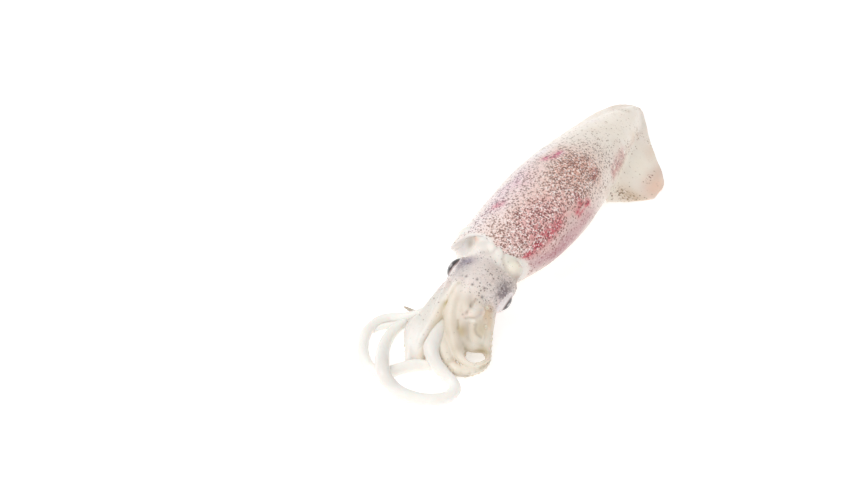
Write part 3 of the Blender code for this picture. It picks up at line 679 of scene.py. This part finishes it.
def paint_mantle(mesh):
    """Pigment saddle over the back, rosy flanks with painted shade on the lower right, cream tail and fins
    with painted light where they lie in shade, white rim and belly.
    """
    points, normals = points_of(mesh), normals_of(mesh)
    x, y, z = points.T
    around = flank_angle(points)
    # Bare rim, with a ragged edge that is softer on the right, and the lining behind it
    turn = np.linspace(-180.0, 180.0, 91)
    ahead = y - RIM_Y - np.interp(around, turn, [rim_shift(t) for t in turn])
    on_fin = ease(np.abs(x), 17.0, 21.0) * ease(y, 16.0, 22.0) * ease(z, 14.0, 8.0)
    place = np.stack((y + 4.0 * ripple(points, 13.0, 5), around + 12.0 * ripple(points, 10.0, 15)), axis=1)
    bare = np.interp(around, *RIM_BARE)
    blur = np.interp(around, (55.0, 80.0), (0.8, 1.8))
    outside = ease(ahead, bare - blur, bare + blur + 0.5 * ripple(points, 3.0, 9))
    outside = outside * np.where(y < MOUTH_END_Y, ease(outwards(points, normals), -1.0, 3.0), 1.0)
    skin = outside * (1.0 - on_fin)
    # Skin and the colour of its spots
    # skin tints, with painted shade on the lower right flank
    colours = patches(plain(points, SKIN), place, MANTLE_TINTS_AND_SHADE, skin)
    tail = ease(y, *TAIL_FADE)
    ink = paint(plain(points, BACK_INK), tail, TAIL_INK)
    ink = patches(ink, place, INK_PATCHES)
    streak = ripple(points * np.array((1.0, 0.35, 1.0)), 2.0, 12)
    for centre, half, rgb, strength in RED_PATCHES:
        near = strength * skin * blob(place, centre, half) * ease(streak, -0.5, 0.3)
        colours = paint(colours, near, rgb)
        ink = paint(ink, near, tuple(0.62 * c for c in rgb))
    for knots, radius, rgb, strength in STREAKS:
        near = strength * skin * along_line(points, knots, radius) * ease(streak, -0.7, 0.0)
        colours = paint(colours, near, rgb)
        ink = paint(ink, near, tuple(0.6 * c for c in rgb))
    mottle = ease(ripple(points, 7.0, 31), -0.1, 1.0) * tail
    colours = paint(colours, 0.45 * mottle, TAIL_MOTTLE)
    colours = paint(colours, 0.9 * (1.0 - outside) * ease(y, -50.0, -56.0), RIM_WHITE)
    colours = paint(colours, 0.5 * ease(normals[:, 1], -0.35, -0.75) * ease(y, -40.0, -50.0), LINING_WHITE)
    # fin tints, with painted light where the fin and tail lie in shade
    colours = patches(colours, points, FIN_TINTS_AND_PAINTED_LIGHT)
    # How thickly the spots sit
    spots = np.interp(y, *SPOTS_ALONG) * ease(around, -100.0, -50.0) * ease(around, 120.0, 90.0)
    for centre, half, share in SPOT_PATCHES:
        spots = np.maximum(spots, share * np.minimum(1.0, 1.6 * blob(place, centre, half)))
    spots = spots * skin * (0.86 + 0.14 * ripple(points, 5.0, 25))
    for centre, half, share, rgb in FIN_SPOTS:
        near = blob(points, centre, half)
        spots = np.maximum(spots, share * near)
        ink = paint(ink, np.minimum(1.0, 1.6 * near), rgb)
    wear(mesh, colours, ink, spots)


# Patches of colour on the head and arms: the skin's own tints, darker purple-grey round the eyes, painted
# shade in the grooves and gaps between the arms, and painted light on shaded parts of the arms and the top
# of the crown: centre, half sizes, colour, strength
HEAD_TINTS_SHADE_AND_LIGHT = (
    ((-10.4, -79, 23.4), (3.2, 4.6, 5), (126, 116, 128), 0.85),
    ((-8.8, -75.2, 24.6), (3.6, 3.2, 4), (130, 118, 140), 0.8),
    ((4, -74, 22), (4, 5, 6), (206, 190, 180), 0.7),
    ((9.6, -76.6, 17), (4.4, 5.4, 5), (150, 136, 134), 0.85),
    ((10.6, -79.4, 16), (2.6, 5.4, 3.6), (122, 108, 116), 0.8),
    ((12.6, -83.4, 11), (3, 2.6, 4.4), (238, 226, 226), 0.8),
    ((-11.6, -86.6, 19.9), (3.6, 4.4, 4), (212, 196, 190), 0.7),
    ((-12.4, -93.4, 17.6), (2.6, 4.4, 3), (214, 206, 198), 0.6),
    # painted highlight on the top of the crown
    ((-2.6, -89.6, 22), (4, 4, 3), (250, 240, 232), 0.8),
    ((-9.3, -102.4, 14.3), (2.2, 4.4, 3), (244, 232, 216), 0.6),
    ((5.6, -112.2, 9.4), (3, 3.4, 3), (204, 190, 170), 0.75),
    # painted light on a hollow of the crown that lies in shade
    ((3, -99, 16.6), (2.6, 3.4, 2.6), (246, 232, 222), 0.7),
    # painted light on the shaded right side of the arms
    ((11.4, -95, 10.4), (2.4, 6, 3.6), (242, 226, 206), 0.7),
    ((5.4, -77.6, 22.4), (2.6, 6, 3), (226, 210, 202), 0.5),
    ((-8.6, -81.6, 23.4), (5, 3.6, 4), (204, 196, 192), 0.7),
    ((11.4, -71, 14), (3, 3.4, 5), (190, 178, 172), 0.7),
    ((-16, -82, 14), (3, 4, 4), (226, 206, 206), 0.8),
    # these two are painted shade in the groove between the middle arms
    ((-0.6, -101.6, 10.6), (2.6, 5, 3), (200, 178, 138), 0.85),
    ((3.4, -104.4, 11), (2, 2.4, 3), (176, 152, 112), 0.8),
    ((5.6, -106.6, 5.6), (2.6, 3, 3), (200, 184, 152), 0.8),
    ((9, -99.6, 10.4), (2.4, 3.6, 3), (206, 190, 160), 0.8),
    ((13.6, -103.8, 5.4), (3.6, 1.8, 2), (214, 200, 174), 0.8),
    # painted shade in the gap between the arms on the right
    ((8.3, -90.4, 12.6), (1.8, 4.4, 3), (218, 186, 146), 0.85),
    # these two are painted shade on the inner side of the left arms, along their crease
    ((-8.8, -97, 13.4), (1.2, 3.6, 3), (196, 180, 138), 0.75),
    ((-8.7, -103, 9.6), (1.3, 4.4, 3), (178, 160, 104), 0.9),
    ((10.8, -104.8, 3.4), (3.4, 1.6, 2.4), (176, 160, 128), 0.8),
    ((17.2, -110, 3.4), (1.2, 4, 2), (196, 180, 144), 0.6),
)
# Patches on the collar: its own tints, and painted shade in the notch between the collar and the mantle's
# rim and in the fold of the lining: centre, half sizes, colour, strength
COLLAR_TINTS_AND_SHADE = (
    ((8.8, -64.6, 20), (4.2, 4, 6), (236, 228, 208), 0.85),
    # painted shade in the notch between the collar and the mantle's right side
    ((10.9, -66.8, 15.8), (1.8, 2.2, 3), (176, 156, 142), 0.85),
    ((-17.6, -63.4, 20.8), (4, 4, 6), (226, 222, 222), 0.9),
    # painted shade in the fold where the lining meets the neck
    ((-14.6, -62.6, 23), (1.6, 2.6, 2.8), (186, 176, 164), 0.8),
    ((-12, -61.8, 26), (2, 2, 1.4), (232, 190, 170), 0.85),
    ((-5, -69.6, 26), (7, 2.6, 4), (228, 218, 213), 0.7),
    ((-7, -63.6, 27.4), (4.6, 3.6, 3), (226, 219, 213), 0.75),
    # painted shade in the notch between the collar and the mantle's right side
    ((11.4, -66, 15.4), (2, 2.6, 3.4), (182, 164, 154), 0.8),
)
# Creases, and ridges (less than 0 deep), along lines on the head and arms; the darker colours along the
# creases are painted shade and the paler ones along the ridges painted highlights: points, half width,
# depth, colour, strength
CREASE_SHADE_AND_RIDGE_LIGHT = (
    (((-8.6, -88.6, 22), (-9.9, -93.2, 17.8), (-10.4, -98.4, 15), (-10.6, -104, 12.4)), 1.3, -0.15,
     (247, 241, 231), 0.7),
    (((-6.4, -88.5, 22.6), (-7.4, -93.5, 20), (-8.2, -96.6, 17.4)), 0.7, 0.25, (206, 193, 170), 0.7),
    (((-8.2, -96.6, 17.4), (-8, -98.8, 13.6), (-7.6, -103, 11.6), (-8.2, -108, 9)), 1, 0.15,
     (182, 164, 108), 0.9),
    (((3.2, -90.8, 19.1), (2.7, -93.8, 18.3), (2.6, -98.9, 17.1)), 0.75, 0.45, (172, 152, 134), 0.75),
    (((7.3, -93.6, 17.2), (7.9, -95.7, 16.3), (7.2, -97.4, 15.9)), 0.8, 0.25, (192, 178, 176), 0.5),
    (((4.9, -94.6, 18), (5.2, -96.6, 17.4)), 1.3, -0.35, (246, 238, 231), 0.7),
    (((2.2, -100.2, 15.1), (6.2, -98.3, 15.5)), 0.5, 0.25, (192, 176, 158), 0.55),
    (((2.5, -100.9, 14.5), (6.3, -98.7, 14.2)), 0.6, -0.2, (250, 244, 236), 0.7),
    (((0.4, -102.2, 14.7), (1.8, -104.8, 12.8)), 0.6, 0.3, (164, 146, 112), 0.6),
    (((2.7, -104.6, 11.9), (3.7, -105.4, 10.8)), 1.3, 0, (206, 188, 142), 0.7),
    (((5.4, -105.2, 8.9), (6.2, -105.8, 7.8)), 1, 0.25, (160, 142, 112), 0.6),
    (((7.7, -99.3, 13.2), (8.1, -101.1, 11.9), (9.6, -102, 10.4), (11.2, -101.5, 8.9)), 0.65, 0.3,
     (178, 164, 148), 0.6),
    (((10.2, -98.4, 10.6), (10.8, -99.4, 9.4)), 1.6, -0.2, (214, 200, 168), 0.7),
    (((8.4, -91.4, 13.7), (10.6, -91.6, 11.2), (11.4, -94.1, 10)), 1.3, -0.15, (226, 202, 172), 0.65),
    (((8.9, -107, 4.4), (12, -105.5, 5.1), (15, -104.4, 4.6), (17.4, -105.6, 4.6), (18.4, -108.5, 4.2),
     (17.2, -112.2, 4.2)), 0.7, 0, (176, 160, 116), 0.65),
    (((-2.6, -110, 3.4), (-1.6, -114.4, 2.6), (2.4, -118.2, 2), (8, -120.2, 1.6), (13.6, -118.6, 1.4)),
     1.1, 0, (168, 150, 136), 0.8),
    (((-31.6, -93, 2.2), (-28, -93.8, 2.4), (-23, -95, 3)), 1.4, 0, (172, 158, 138), 0.9),
    (((-2.4, -62.6, 28.2), (-0.2, -64.4, 27.6), (-1.1, -67.1, 25.7), (-5.4, -68.6, 25.6)), 0.8, 0.25,
     (214, 204, 196), 0.6),
    (((2.4, -62.8, 26.2), (3.8, -66.4, 23.9), (5.1, -67.4, 21.7), (7, -68.4, 19.7), (9.8, -68.4, 18)),
     0.8, 0.3, (206, 194, 182), 0.6),
)
# Single dark spots on the head: centre and radius
BLOTS = (
    ((4.2, -84.9, 21.2), 0.65), ((4.7, -88.2, 19), 0.7), ((-0.9, -86.6, 22.7), 0.6),
    ((0, -83.9, 23.9), 0.55), ((-5.1, -84.4, 23.9), 0.6), ((-7.1, -84.3, 23.6), 0.4),
    ((-8, -69.2, 25.1), 0.6), ((-7.2, -70.6, 25.2), 0.45), ((-13, -92.3, 16.6), 0.6),
    ((-13.6, -95.6, 14.6), 0.5),
)
SUCKER_MARK = ((8.5, -88.2, 13.9), 1.35, 0.4)  # centre, radius and half width of a ring-shaped scar
COLLAR_Y = -70.6  # where the dotted head gives way to the white collar
NAPE_SPOTS = ((-7.0, -69.6, 25.4), (1.0, -70.4, 25.4), (6.4, -68.0, 21.6))  # line of spots along the collar
TIP_SPOTS = ((4.0, -119.5, 1.5), (6.0, 2.6, 2.0))  # cluster under the arms' front: centre, half sizes


def paint_head(mesh):
    """White collar, grey-lilac dotted head, cream arms that pale towards their ends; painted shade in the
    creases and gaps between the arms, painted light on their shaded parts and ridges.
    """
    points, normals = points_of(mesh), normals_of(mesh)
    x, y, _ = points.T
    left = ease(x, -9.0, -12.0)
    colours = paint(plain(points, ARM_CREAM), left, ARM_LEFT)
    colours = paint(colours, ease(y, -104.0, -114.0) * left, ARM_LEFT_END)
    colours = paint(colours, 0.8 * ease(y, -108.0, -114.0) * ease(x, -10.0, -6.0), ARM_END)
    # Painted light: the lower part of the arms on the right, which lies in shade, is coloured paler
    colours = paint(colours, 0.8 * blob(points, (10.5, -103.0, 7.0), (5.0, 5.0, 4.0)), ARM_HOOK_PAINTED_LIGHT)
    head = ease(y, -95.0, -84.0)
    # head tints, with painted shade in the gaps between the arms and painted light on their shaded parts
    colours = patches(paint(colours, head, HEAD_LILAC), points, HEAD_TINTS_SHADE_AND_LIGHT)
    for centre, radius in BLOTS:
        far = np.linalg.norm(points - np.array(centre), axis=1) / radius
        colours = paint(colours, 0.85 * np.exp(-(far ** 2)), BLOT)
    mark, reach, width = SUCKER_MARK
    ring = np.linalg.norm(points - np.array(mark), axis=1) - reach
    colours = paint(colours, 0.7 * np.exp(-((ring / width) ** 2)), MARK)
    edge = COLLAR_Y + 0.2 * np.maximum(0.0, x - 2.0) + 1.2 * ripple(points, 3.0, 8)
    collar = ease(y, edge - 1.4, edge + 1.4)
    # white collar, with painted shade in its notch and fold
    colours = patches(paint(colours, collar, COLLAR_WHITE), points, COLLAR_TINTS_AND_SHADE)
    # painted shade along the creases and painted highlights along the ridges
    for knots, width, _, rgb, strength in CREASE_SHADE_AND_RIDGE_LIGHT:
        colours = paint(colours, strength * along_line(points, knots, width), rgb)
    for centre, half, way, opening, *_ in EYES.values():
        reach, angle = eye_angle(points, centre, half, way)
        lid = (reach < 1.4) * np.exp(-((angle - opening - 2.0) / 7.0) ** 2)
        colours = paint(colours, 0.9 * lid, LID)
    spots = 0.55 * head + 0.25 * ease(x, 0.0, 8.0) * head
    spots = spots + 0.30 * ease(y, -112.0, -96.0) * ease(x, -9.0, -15.0)
    spots = np.maximum(spots * (1.0 - collar), 0.7 * along_line(points, NAPE_SPOTS, 2.0))
    spots = spots * ease(normals[:, 2], -0.3, 0.2)
    spots = np.maximum(spots, 0.8 * blob(points, *TIP_SPOTS))
    wear(mesh, colours, plain(points, HEAD_INK), spots)


# ---------------------------------------------------------------- materials
class Graph:
    """A short way to write one material's nodes."""

    def __init__(self, name):
        self.mat = bpy.data.materials.new(name)
        self.mat.use_nodes = True
        self.tree = self.mat.node_tree
        self.shader = self.tree.nodes["Principled BSDF"]

    def node(self, kind, **settings):
        made = self.tree.nodes.new("ShaderNode" + kind)
        for key, value in settings.items():
            setattr(made, key, value)
        return made

    def link(self, source, target):
        if isinstance(source, (int, float)):
            target.default_value = source
        elif isinstance(source, tuple):
            target.default_value = (*source, 1.0)[:len(target.default_value)]
        else:
            self.tree.links.new(source, target)

    def math(self, how, a, b=0.0, c=0.0):
        made = self.node("Math", operation=how)
        for slot, value in zip(made.inputs, (a, b, c)):
            self.link(value, slot)
        return made.outputs[0]

    def mix(self, amount, a, b, how="MIX"):
        # Sockets 6 and 7 and output 2 are the node's colour ones
        made = self.node("Mix", data_type="RGBA", blend_type=how)
        for slot, value in ((0, amount), (6, a), (7, b)):
            self.link(value, made.inputs[slot])
        return made.outputs[2]

    def ramp(self, value, low, high, start=0.0, end=1.0):
        made = self.node("MapRange", interpolation_type="SMOOTHSTEP")
        for slot, number in zip(made.inputs, (value, low, high, start, end)):
            self.link(number, slot)
        return made.outputs[0]

    def attribute(self, name, colour=False):
        made = self.node("Attribute", attribute_name=name)
        return made.outputs["Color" if colour else "Fac"]

    def place(self):
        return self.node("TexCoord").outputs["Object"]

    def cloud(self, place, scale, detail=2.0, rough=0.5):
        made = self.node("TexNoise")
        self.link(place, made.inputs["Vector"])
        for key, value in (("Scale", scale), ("Detail", detail), ("Roughness", rough)):
            made.inputs[key].default_value = value
        return made.outputs["Fac"]

    def cells(self, place, scale):
        made = self.node("TexVoronoi", feature="F1")
        self.link(place, made.inputs["Vector"])
        made.inputs["Scale"].default_value = scale
        return made.outputs["Distance"], made.outputs["Color"]

    def bump(self, height, strength, reach, under=None):
        made = self.node("Bump")
        made.inputs["Strength"].default_value = strength
        made.inputs["Distance"].default_value = reach
        self.link(height, made.inputs["Height"])
        if under is not None:
            self.link(under, made.inputs["Normal"])
        return made.outputs["Normal"]

    def finish(self, sockets, **more):
        for key, value in {**sockets, **more}.items():
            self.shader.inputs[key].default_value = value
        return self.mat


# Sockets that are the same all over, lengths in metres
FLESH = {
    "Subsurface Scale": 0.0018, "Subsurface Radius": (1.0, 0.6, 0.48), "Coat Weight": 0.3,
    "Coat Roughness": 0.2, "IOR": 1.38,
}
FLESH_ROUGH = (0.3, 0.52)
EYE = {"Coat Weight": 0.6, "Coat Roughness": 0.06}
FLOOR = {
    "Base Color": (0.93, 0.93, 0.93, 1.0), "Roughness": 0.9, "Specular IOR Level": 0.1,
    "Emission Color": (1.0, 1.0, 1.0, 1.0), "Emission Strength": 0.36,
}


def spots_layer(g, place, scale, density, least, most):
    """A mask of colour spots of uneven size, in a share of the cells that grows with density."""
    gap, tint = g.cells(place, scale)
    lot = g.node("SeparateColor")
    g.link(tint, lot.inputs[0])
    size = g.math("MULTIPLY_ADD", lot.outputs[0], most - least, least)
    there = g.ramp(g.math("SUBTRACT", density, lot.outputs[1]), -0.06, 0.06)
    return g.math("MULTIPLY", g.ramp(g.math("SUBTRACT", size, gap), -0.07, 0.07), there)


def flesh_material(name, layers, flecks, seep):
    """Wet, slightly see-through flesh with colour spots in its skin."""
    g = Graph(name)
    place = g.place()
    density = g.attribute("spots")
    colour = g.attribute("flesh", colour=True)
    ink = g.attribute("ink", colour=True)
    mottle = g.cloud(place, scale=240.0, detail=3.0, rough=0.6)
    colour = g.mix(g.ramp(mottle, 0.35, 0.7, 0.0, 0.10), colour, (0.8, 0.74, 0.70), "MULTIPLY")
    glint = spots_layer(g, place, 950.0, density, least=0.34, most=0.56)
    flecks = g.ramp(density, 0.3, 0.9, 0.25 * flecks, flecks)
    colour = g.mix(g.math("MULTIPLY", glint, flecks), colour, (1.0, 0.90, 0.87))
    for scale, least, most, share, strength in layers:
        mask = spots_layer(g, place, scale, g.math("MULTIPLY", density, share), least, most)
        colour = g.mix(g.math("MULTIPLY", mask, strength), colour, ink)
    g.link(colour, g.shader.inputs["Base Color"])
    wet = g.cloud(place, scale=420.0)
    g.link(g.ramp(wet, 0.3, 0.75, *FLESH_ROUGH), g.shader.inputs["Roughness"])
    grain = g.cloud(place, scale=900.0, detail=3.0, rough=0.6)
    normal = g.bump(grain, strength=0.25, reach=0.0003)
    normal = g.bump(g.cloud(place, scale=180.0), strength=0.3, reach=0.0012, under=normal)
    g.link(normal, g.shader.inputs["Normal"])
    return g.finish(FLESH, **{"Subsurface Weight": seep})


def piece(name, mesh, mat, slot, *nodes):
    """Show a mesh as a piece of the squid."""
    obj = bpy.data.objects.new(name, mesh)
    mesh.name = name
    bpy.context.scene.collection.objects.link(obj)
    mesh.materials.clear()
    mesh.materials.append(mat)
    mesh.polygons.foreach_set("use_smooth", [True] * len(mesh.polygons))
    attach(obj, "root")
    if nodes:
        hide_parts(*nodes)
    return obj


# ---------------------------------------------------------------- build
def build_mantle(mat):
    """The mantle and its fins as one skin."""
    parts = [mantle_form(), fin_form("fin_right", 1), fin_form("fin_left", -1)]
    mesh = voxel_skin("mantle_skin", parts, MANTLE_VOXEL)
    soften(mesh, rounds=6, steps=RELAX_STEPS)
    x, y, _ = points_of(mesh).T
    along, *seam = FIN_SEAM
    root, spread = (np.interp(y, along, sizes) for sizes in seam)
    seam = np.exp(-((np.abs(x) - root) / spread) ** 2) * ease(y, 12.0, 20.0)
    soften(mesh, rounds=40, weight=seam * ease(y, 86.0, 78.0))
    points = points_of(mesh)
    settle(mesh, points, 0.22 * ripple(points, 9.0, 1) + 0.05 * ripple(points, 2.6, 2))
    paint_mantle(mesh)
    piece("mantle_skin", mesh, mat, "mantle_skin", "mantle")


def build_head(mat):
    """Head, neck, eyelids, funnel and arms as one skin."""
    parts = [head_form(), soft_limb("funnel", FUNNEL), collar_form()]
    parts += [soft_limb("web", knots) for knots in WEBS]
    parts += [ball("pad", centre, half) for centre, half in (CHEEK, *NECK_PADS)]
    parts += [ball("lid", centre, [h + LID_GROW for h in half]) for centre, half, *_ in EYES.values()]
    parts += [limb_form(name, knots) for name, knots in ARMS.items()]
    mesh = voxel_skin("head_flesh", parts, HEAD_VOXEL)
    soften(mesh, rounds=4, steps=RELAX_STEPS)
    # Flesh presses together between the arms and over the neck
    x, y, _ = points_of(mesh).T
    crown, bundle, neck = ease(y, -106.0, -88.0), ease(x, -9.0, -12.0), ease(y, -69.0, -66.0)
    fill_creases(mesh, rounds=40, weight=0.3 + 0.4 * np.maximum(crown, bundle))
    soften(mesh, rounds=5, weight=0.15 + 0.85 * crown)
    soften(mesh, rounds=24, weight=neck)
    points, normals = points_of(mesh), normals_of(mesh)
    relief = 0.1 * ripple(points, 3.6, 3)
    for knots, width, depth, *_ in CREASE_SHADE_AND_RIDGE_LIGHT:
        relief = relief - depth * along_line(points, knots, width)
    points = points + normals * relief[:, None]
    # Sockets: skin inside each opening sinks under the ball
    for centre, half, way, opening, *_ in EYES.values():
        reach, angle = eye_angle(points, centre, half, way)
        sunk = np.minimum(reach, SOCKET)
        shut = ease(angle, *(opening + edge for edge in LID_EDGE))
        shut = np.where(reach < 1.5, shut, 1.0)
        wanted = sunk + (reach - sunk) * shut
        points = np.array(centre) + (points - np.array(centre)) * (wanted / np.maximum(reach, 1e-6))[:, None]
    points[:, 2] = np.maximum(points[:, 2], 0.0)
    put_points(mesh, points)
    paint_head(mesh)
    return piece("head_flesh", mesh, mat, "head_flesh", "head")


def cup_rings(centre, out, radius):
    """Rings of points of one small sucker: a cup with a raised rim and a hollow middle."""
    side = unit(np.cross(out, (0.3, 0.5, 0.8)))
    other = np.cross(out, side)
    angles = [2 * math.pi * k / CUP_SIDES for k in range(CUP_SIDES)]
    return [
        [centre + radius * (reach * (side * math.cos(a) + other * math.sin(a)) + out * rise) for a in angles]
        for reach, rise in CUP_PROFILE
    ]


def build_suckers(mat, skin_mesh):
    """Two rows of small cups down each arm, wherever its suckered side isn't buried in other flesh."""
    tree = BVHTree.FromPolygons(
        [tuple(p) for p in points_of(skin_mesh)], [tuple(f.vertices) for f in skin_mesh.polygons]
    )
    verts, faces = [], []
    for name, facing in SUCKERED.items():
        centres, radii, frames = limb_route(ARMS[name], 0.25, facing)
        steps = np.linalg.norm(np.diff(centres, axis=0), axis=1)
        first, last = (share * float(np.sum(steps)) for share in CUP_SPAN)
        travelled, wait, row = 0.0, 0.0, -1
        for centre, radius, (_, side, out), step in zip(centres[1:], radii[1:], frames[1:], steps):
            travelled += float(step)
            if not max(first, wait) <= travelled <= last:
                continue
            row = -row
            wait = travelled + CUP_GAP[0] * radius + CUP_GAP[1]
            way = unit(out + row * CUP_SHIFT * side)
            hit, normal, _, far = tree.ray_cast(Vector(centre), Vector(way), 12.0)
            if hit is None or far > CUP_BURIED * radius or hit.z < 0.5:
                continue
            rings = cup_rings(np.array(hit), unit(np.array(normal)), max(CUP_SIZE[1], CUP_SIZE[0] * radius))
            cup_verts, cup_faces = tube(rings, len(verts))
            verts += cup_verts
            faces += cup_faces
    mesh = mesh_of("suckers", verts, faces)
    colours = plain(verts, CUP_CREAM)
    wear(mesh, colours, colours, np.zeros(len(verts)))
    piece("suckers", mesh, mat, "head_flesh")


def build_tentacles(mat):
    """The two long tentacles, one with its tip folded back."""
    for name, knots in TENTACLES.items():
        knots = [(*place, radius * TENTACLE_SWELL) for *place, radius in knots]
        mesh = limb_form(name, knots, sides=32, step=0.6, flat=0.06, keel=0.0)
        points = points_of(mesh)
        settle(mesh, points, 0.06 * ripple(points, 2.8, 6))
        points = points_of(mesh)
        x, y, z = points.T
        colours = paint(plain(points, TENTACLE), 0.5 + 0.5 * ripple(points, 9.0, 4), TENTACLE_MOTTLE)
        # Painted shade: tentacle parts lying higher off the floor are coloured greyer to hold down the extra
        # light they catch
        colours = paint(colours, 0.8 * ease(z, 5.0, 9.0), TENTACLE_RAISED_SHADE)
        colours = paint(colours, ease(x, -24.0, -16.0) * ease(y, -112.0, -98.0), TENTACLE_ROOT)
        wear(mesh, colours, colours, np.zeros(len(points)))
        piece(name, mesh, mat, "head_flesh")


def eye_material():
    """Wet eye: black pupil, dark brown edge, silvery white."""
    g = Graph("eye_wet")
    colour = g.attribute("eye", colour=True)
    mottle = g.cloud(g.place(), scale=900.0, detail=3.0, rough=0.6)
    colour = g.mix(g.ramp(mottle, 0.4, 0.7, 0.0, 0.25), colour, (0.55, 0.48, 0.5), "MULTIPLY")
    g.link(colour, g.shader.inputs["Base Color"])
    g.link(g.ramp(mottle, 0.3, 0.7, 0.12, 0.2), g.shader.inputs["Roughness"])
    return g.finish(EYE)


def build_eyes():
    """Both eyeballs, with the pupil painted where it faces."""
    mat = eye_material()
    for name, (centre, half, _, _, way, tall, wide) in EYES.items():
        mesh = ball(name, centre, half, (96, 64))
        points = points_of(mesh)
        _, angle = eye_angle(points, centre, half, way)
        arm = (points - np.array(centre)) / np.array(half)
        ahead = unit(np.array(way))
        up = unit(np.array(PUPIL_UP) - ahead * float(ahead @ np.array(PUPIL_UP)))
        along, across = arm @ up, arm @ np.cross(ahead, up)
        size = np.maximum(1e-6, np.hypot(along, across))
        limit = 1.0 / np.hypot(along / size / tall, across / size / wide)
        share = angle / limit
        colours = paint(plain(points, EYE_WHITE), ease(share, 1.30, 1.08), IRIS)
        colours = paint(colours, ease(share, 1.10, 0.94), PUPIL)
        glint = ease(share, 0.95, 0.70) * ease(np.abs(along - 0.12), 0.22, 0.08)
        colours = paint(colours, 0.75 * glint, GLINT)
        store(mesh, "eye", colours)
        piece(name + "_ball", mesh, mat, "eye_dark", name)


# ---------------------------------------------------------------- studio
FLOOR_HALF = 1500.0  # mm
SKY_STRENGTH = 0.66
# Name, place in metres, width in metres, power in watts
LAMPS = (("key", (-0.55, -0.25, 0.75), 0.7, 3.2), ("fill", (0.35, -0.85, 0.6), 0.9, 1.8))
LAMP_AIM = (-0.01, -0.03, 0.0)
CAMERA_TURN = (28.3, 40.0)  # azimuth and elevation, degrees
CAMERA_REACH = 0.9325
CAMERA_AIM = (-0.0455, -0.0458, 0.0)
CAMERA_LENS = (85.0, 36.0)  # focal length and sensor width, mm


def studio():
    """Plain pale floor, soft light from above and the left, and the camera."""
    scene = bpy.context.scene
    corners = [(-1, -1), (1, -1), (1, 1), (-1, 1)]
    mesh = mesh_of("floor", [(x * FLOOR_HALF, y * FLOOR_HALF, 0) for x, y in corners], [(0, 1, 2, 3)])
    mesh.materials.append(Graph("floor_white").finish(FLOOR))
    floor = bpy.data.objects.new("floor", mesh)
    scene.collection.objects.link(floor)

    world = bpy.data.worlds.new("studio")
    world.use_nodes = True
    sky = world.node_tree.nodes["Background"].inputs
    sky["Color"].default_value = (1.0, 1.0, 1.0, 1.0)
    sky["Strength"].default_value = SKY_STRENGTH
    scene.world = world

    for name, place, size, power in LAMPS:
        lamp = bpy.data.lights.new(name, "AREA")
        lamp.shape = "DISK"
        lamp.size = size
        lamp.energy = power
        obj = bpy.data.objects.new(name, lamp)
        obj.location = place
        obj.rotation_euler = (Vector(LAMP_AIM) - Vector(place)).to_track_quat("-Z", "Y").to_euler()
        scene.collection.objects.link(obj)

    azimuth, elevation = (math.radians(angle) for angle in CAMERA_TURN)
    level = math.cos(elevation)
    back = Vector((math.sin(azimuth) * level, -math.cos(azimuth) * level, math.sin(elevation)))
    lens = bpy.data.cameras.new("camera")
    lens.lens, lens.sensor_width = CAMERA_LENS
    lens.clip_start, lens.clip_end = 0.01, 10.0
    camera = bpy.data.objects.new("camera", lens)
    camera.location = Vector(CAMERA_AIM) + back * CAMERA_REACH
    camera.rotation_euler = back.to_track_quat("Z", "Y").to_euler()
    scene.collection.objects.link(camera)
    scene.camera = camera
    scene.view_settings.view_transform = "Standard"


# Colour spots: cells per metre, least and most radius in cells, share of the density, strength
MANTLE_SPOTS = ((1700, 0.36, 0.54, 0.9, 0.55), (1000, 0.38, 0.56, 1, 0.82))
HEAD_SPOTS = ((1600, 0.28, 0.44, 0.5, 0.4), (900, 0.22, 0.42, 0.45, 0.7), (230, 0.1, 0.15, 0.5, 0.9))
skin = flesh_material("mantle_skin_wet", MANTLE_SPOTS, flecks=0.85, seep=0.12)
flesh = flesh_material("head_flesh_wet", HEAD_SPOTS, flecks=0.35, seep=0.3)
build_mantle(skin)
build_suckers(flesh, build_head(flesh).data)
build_tentacles(flesh)
build_eyes()
studio()
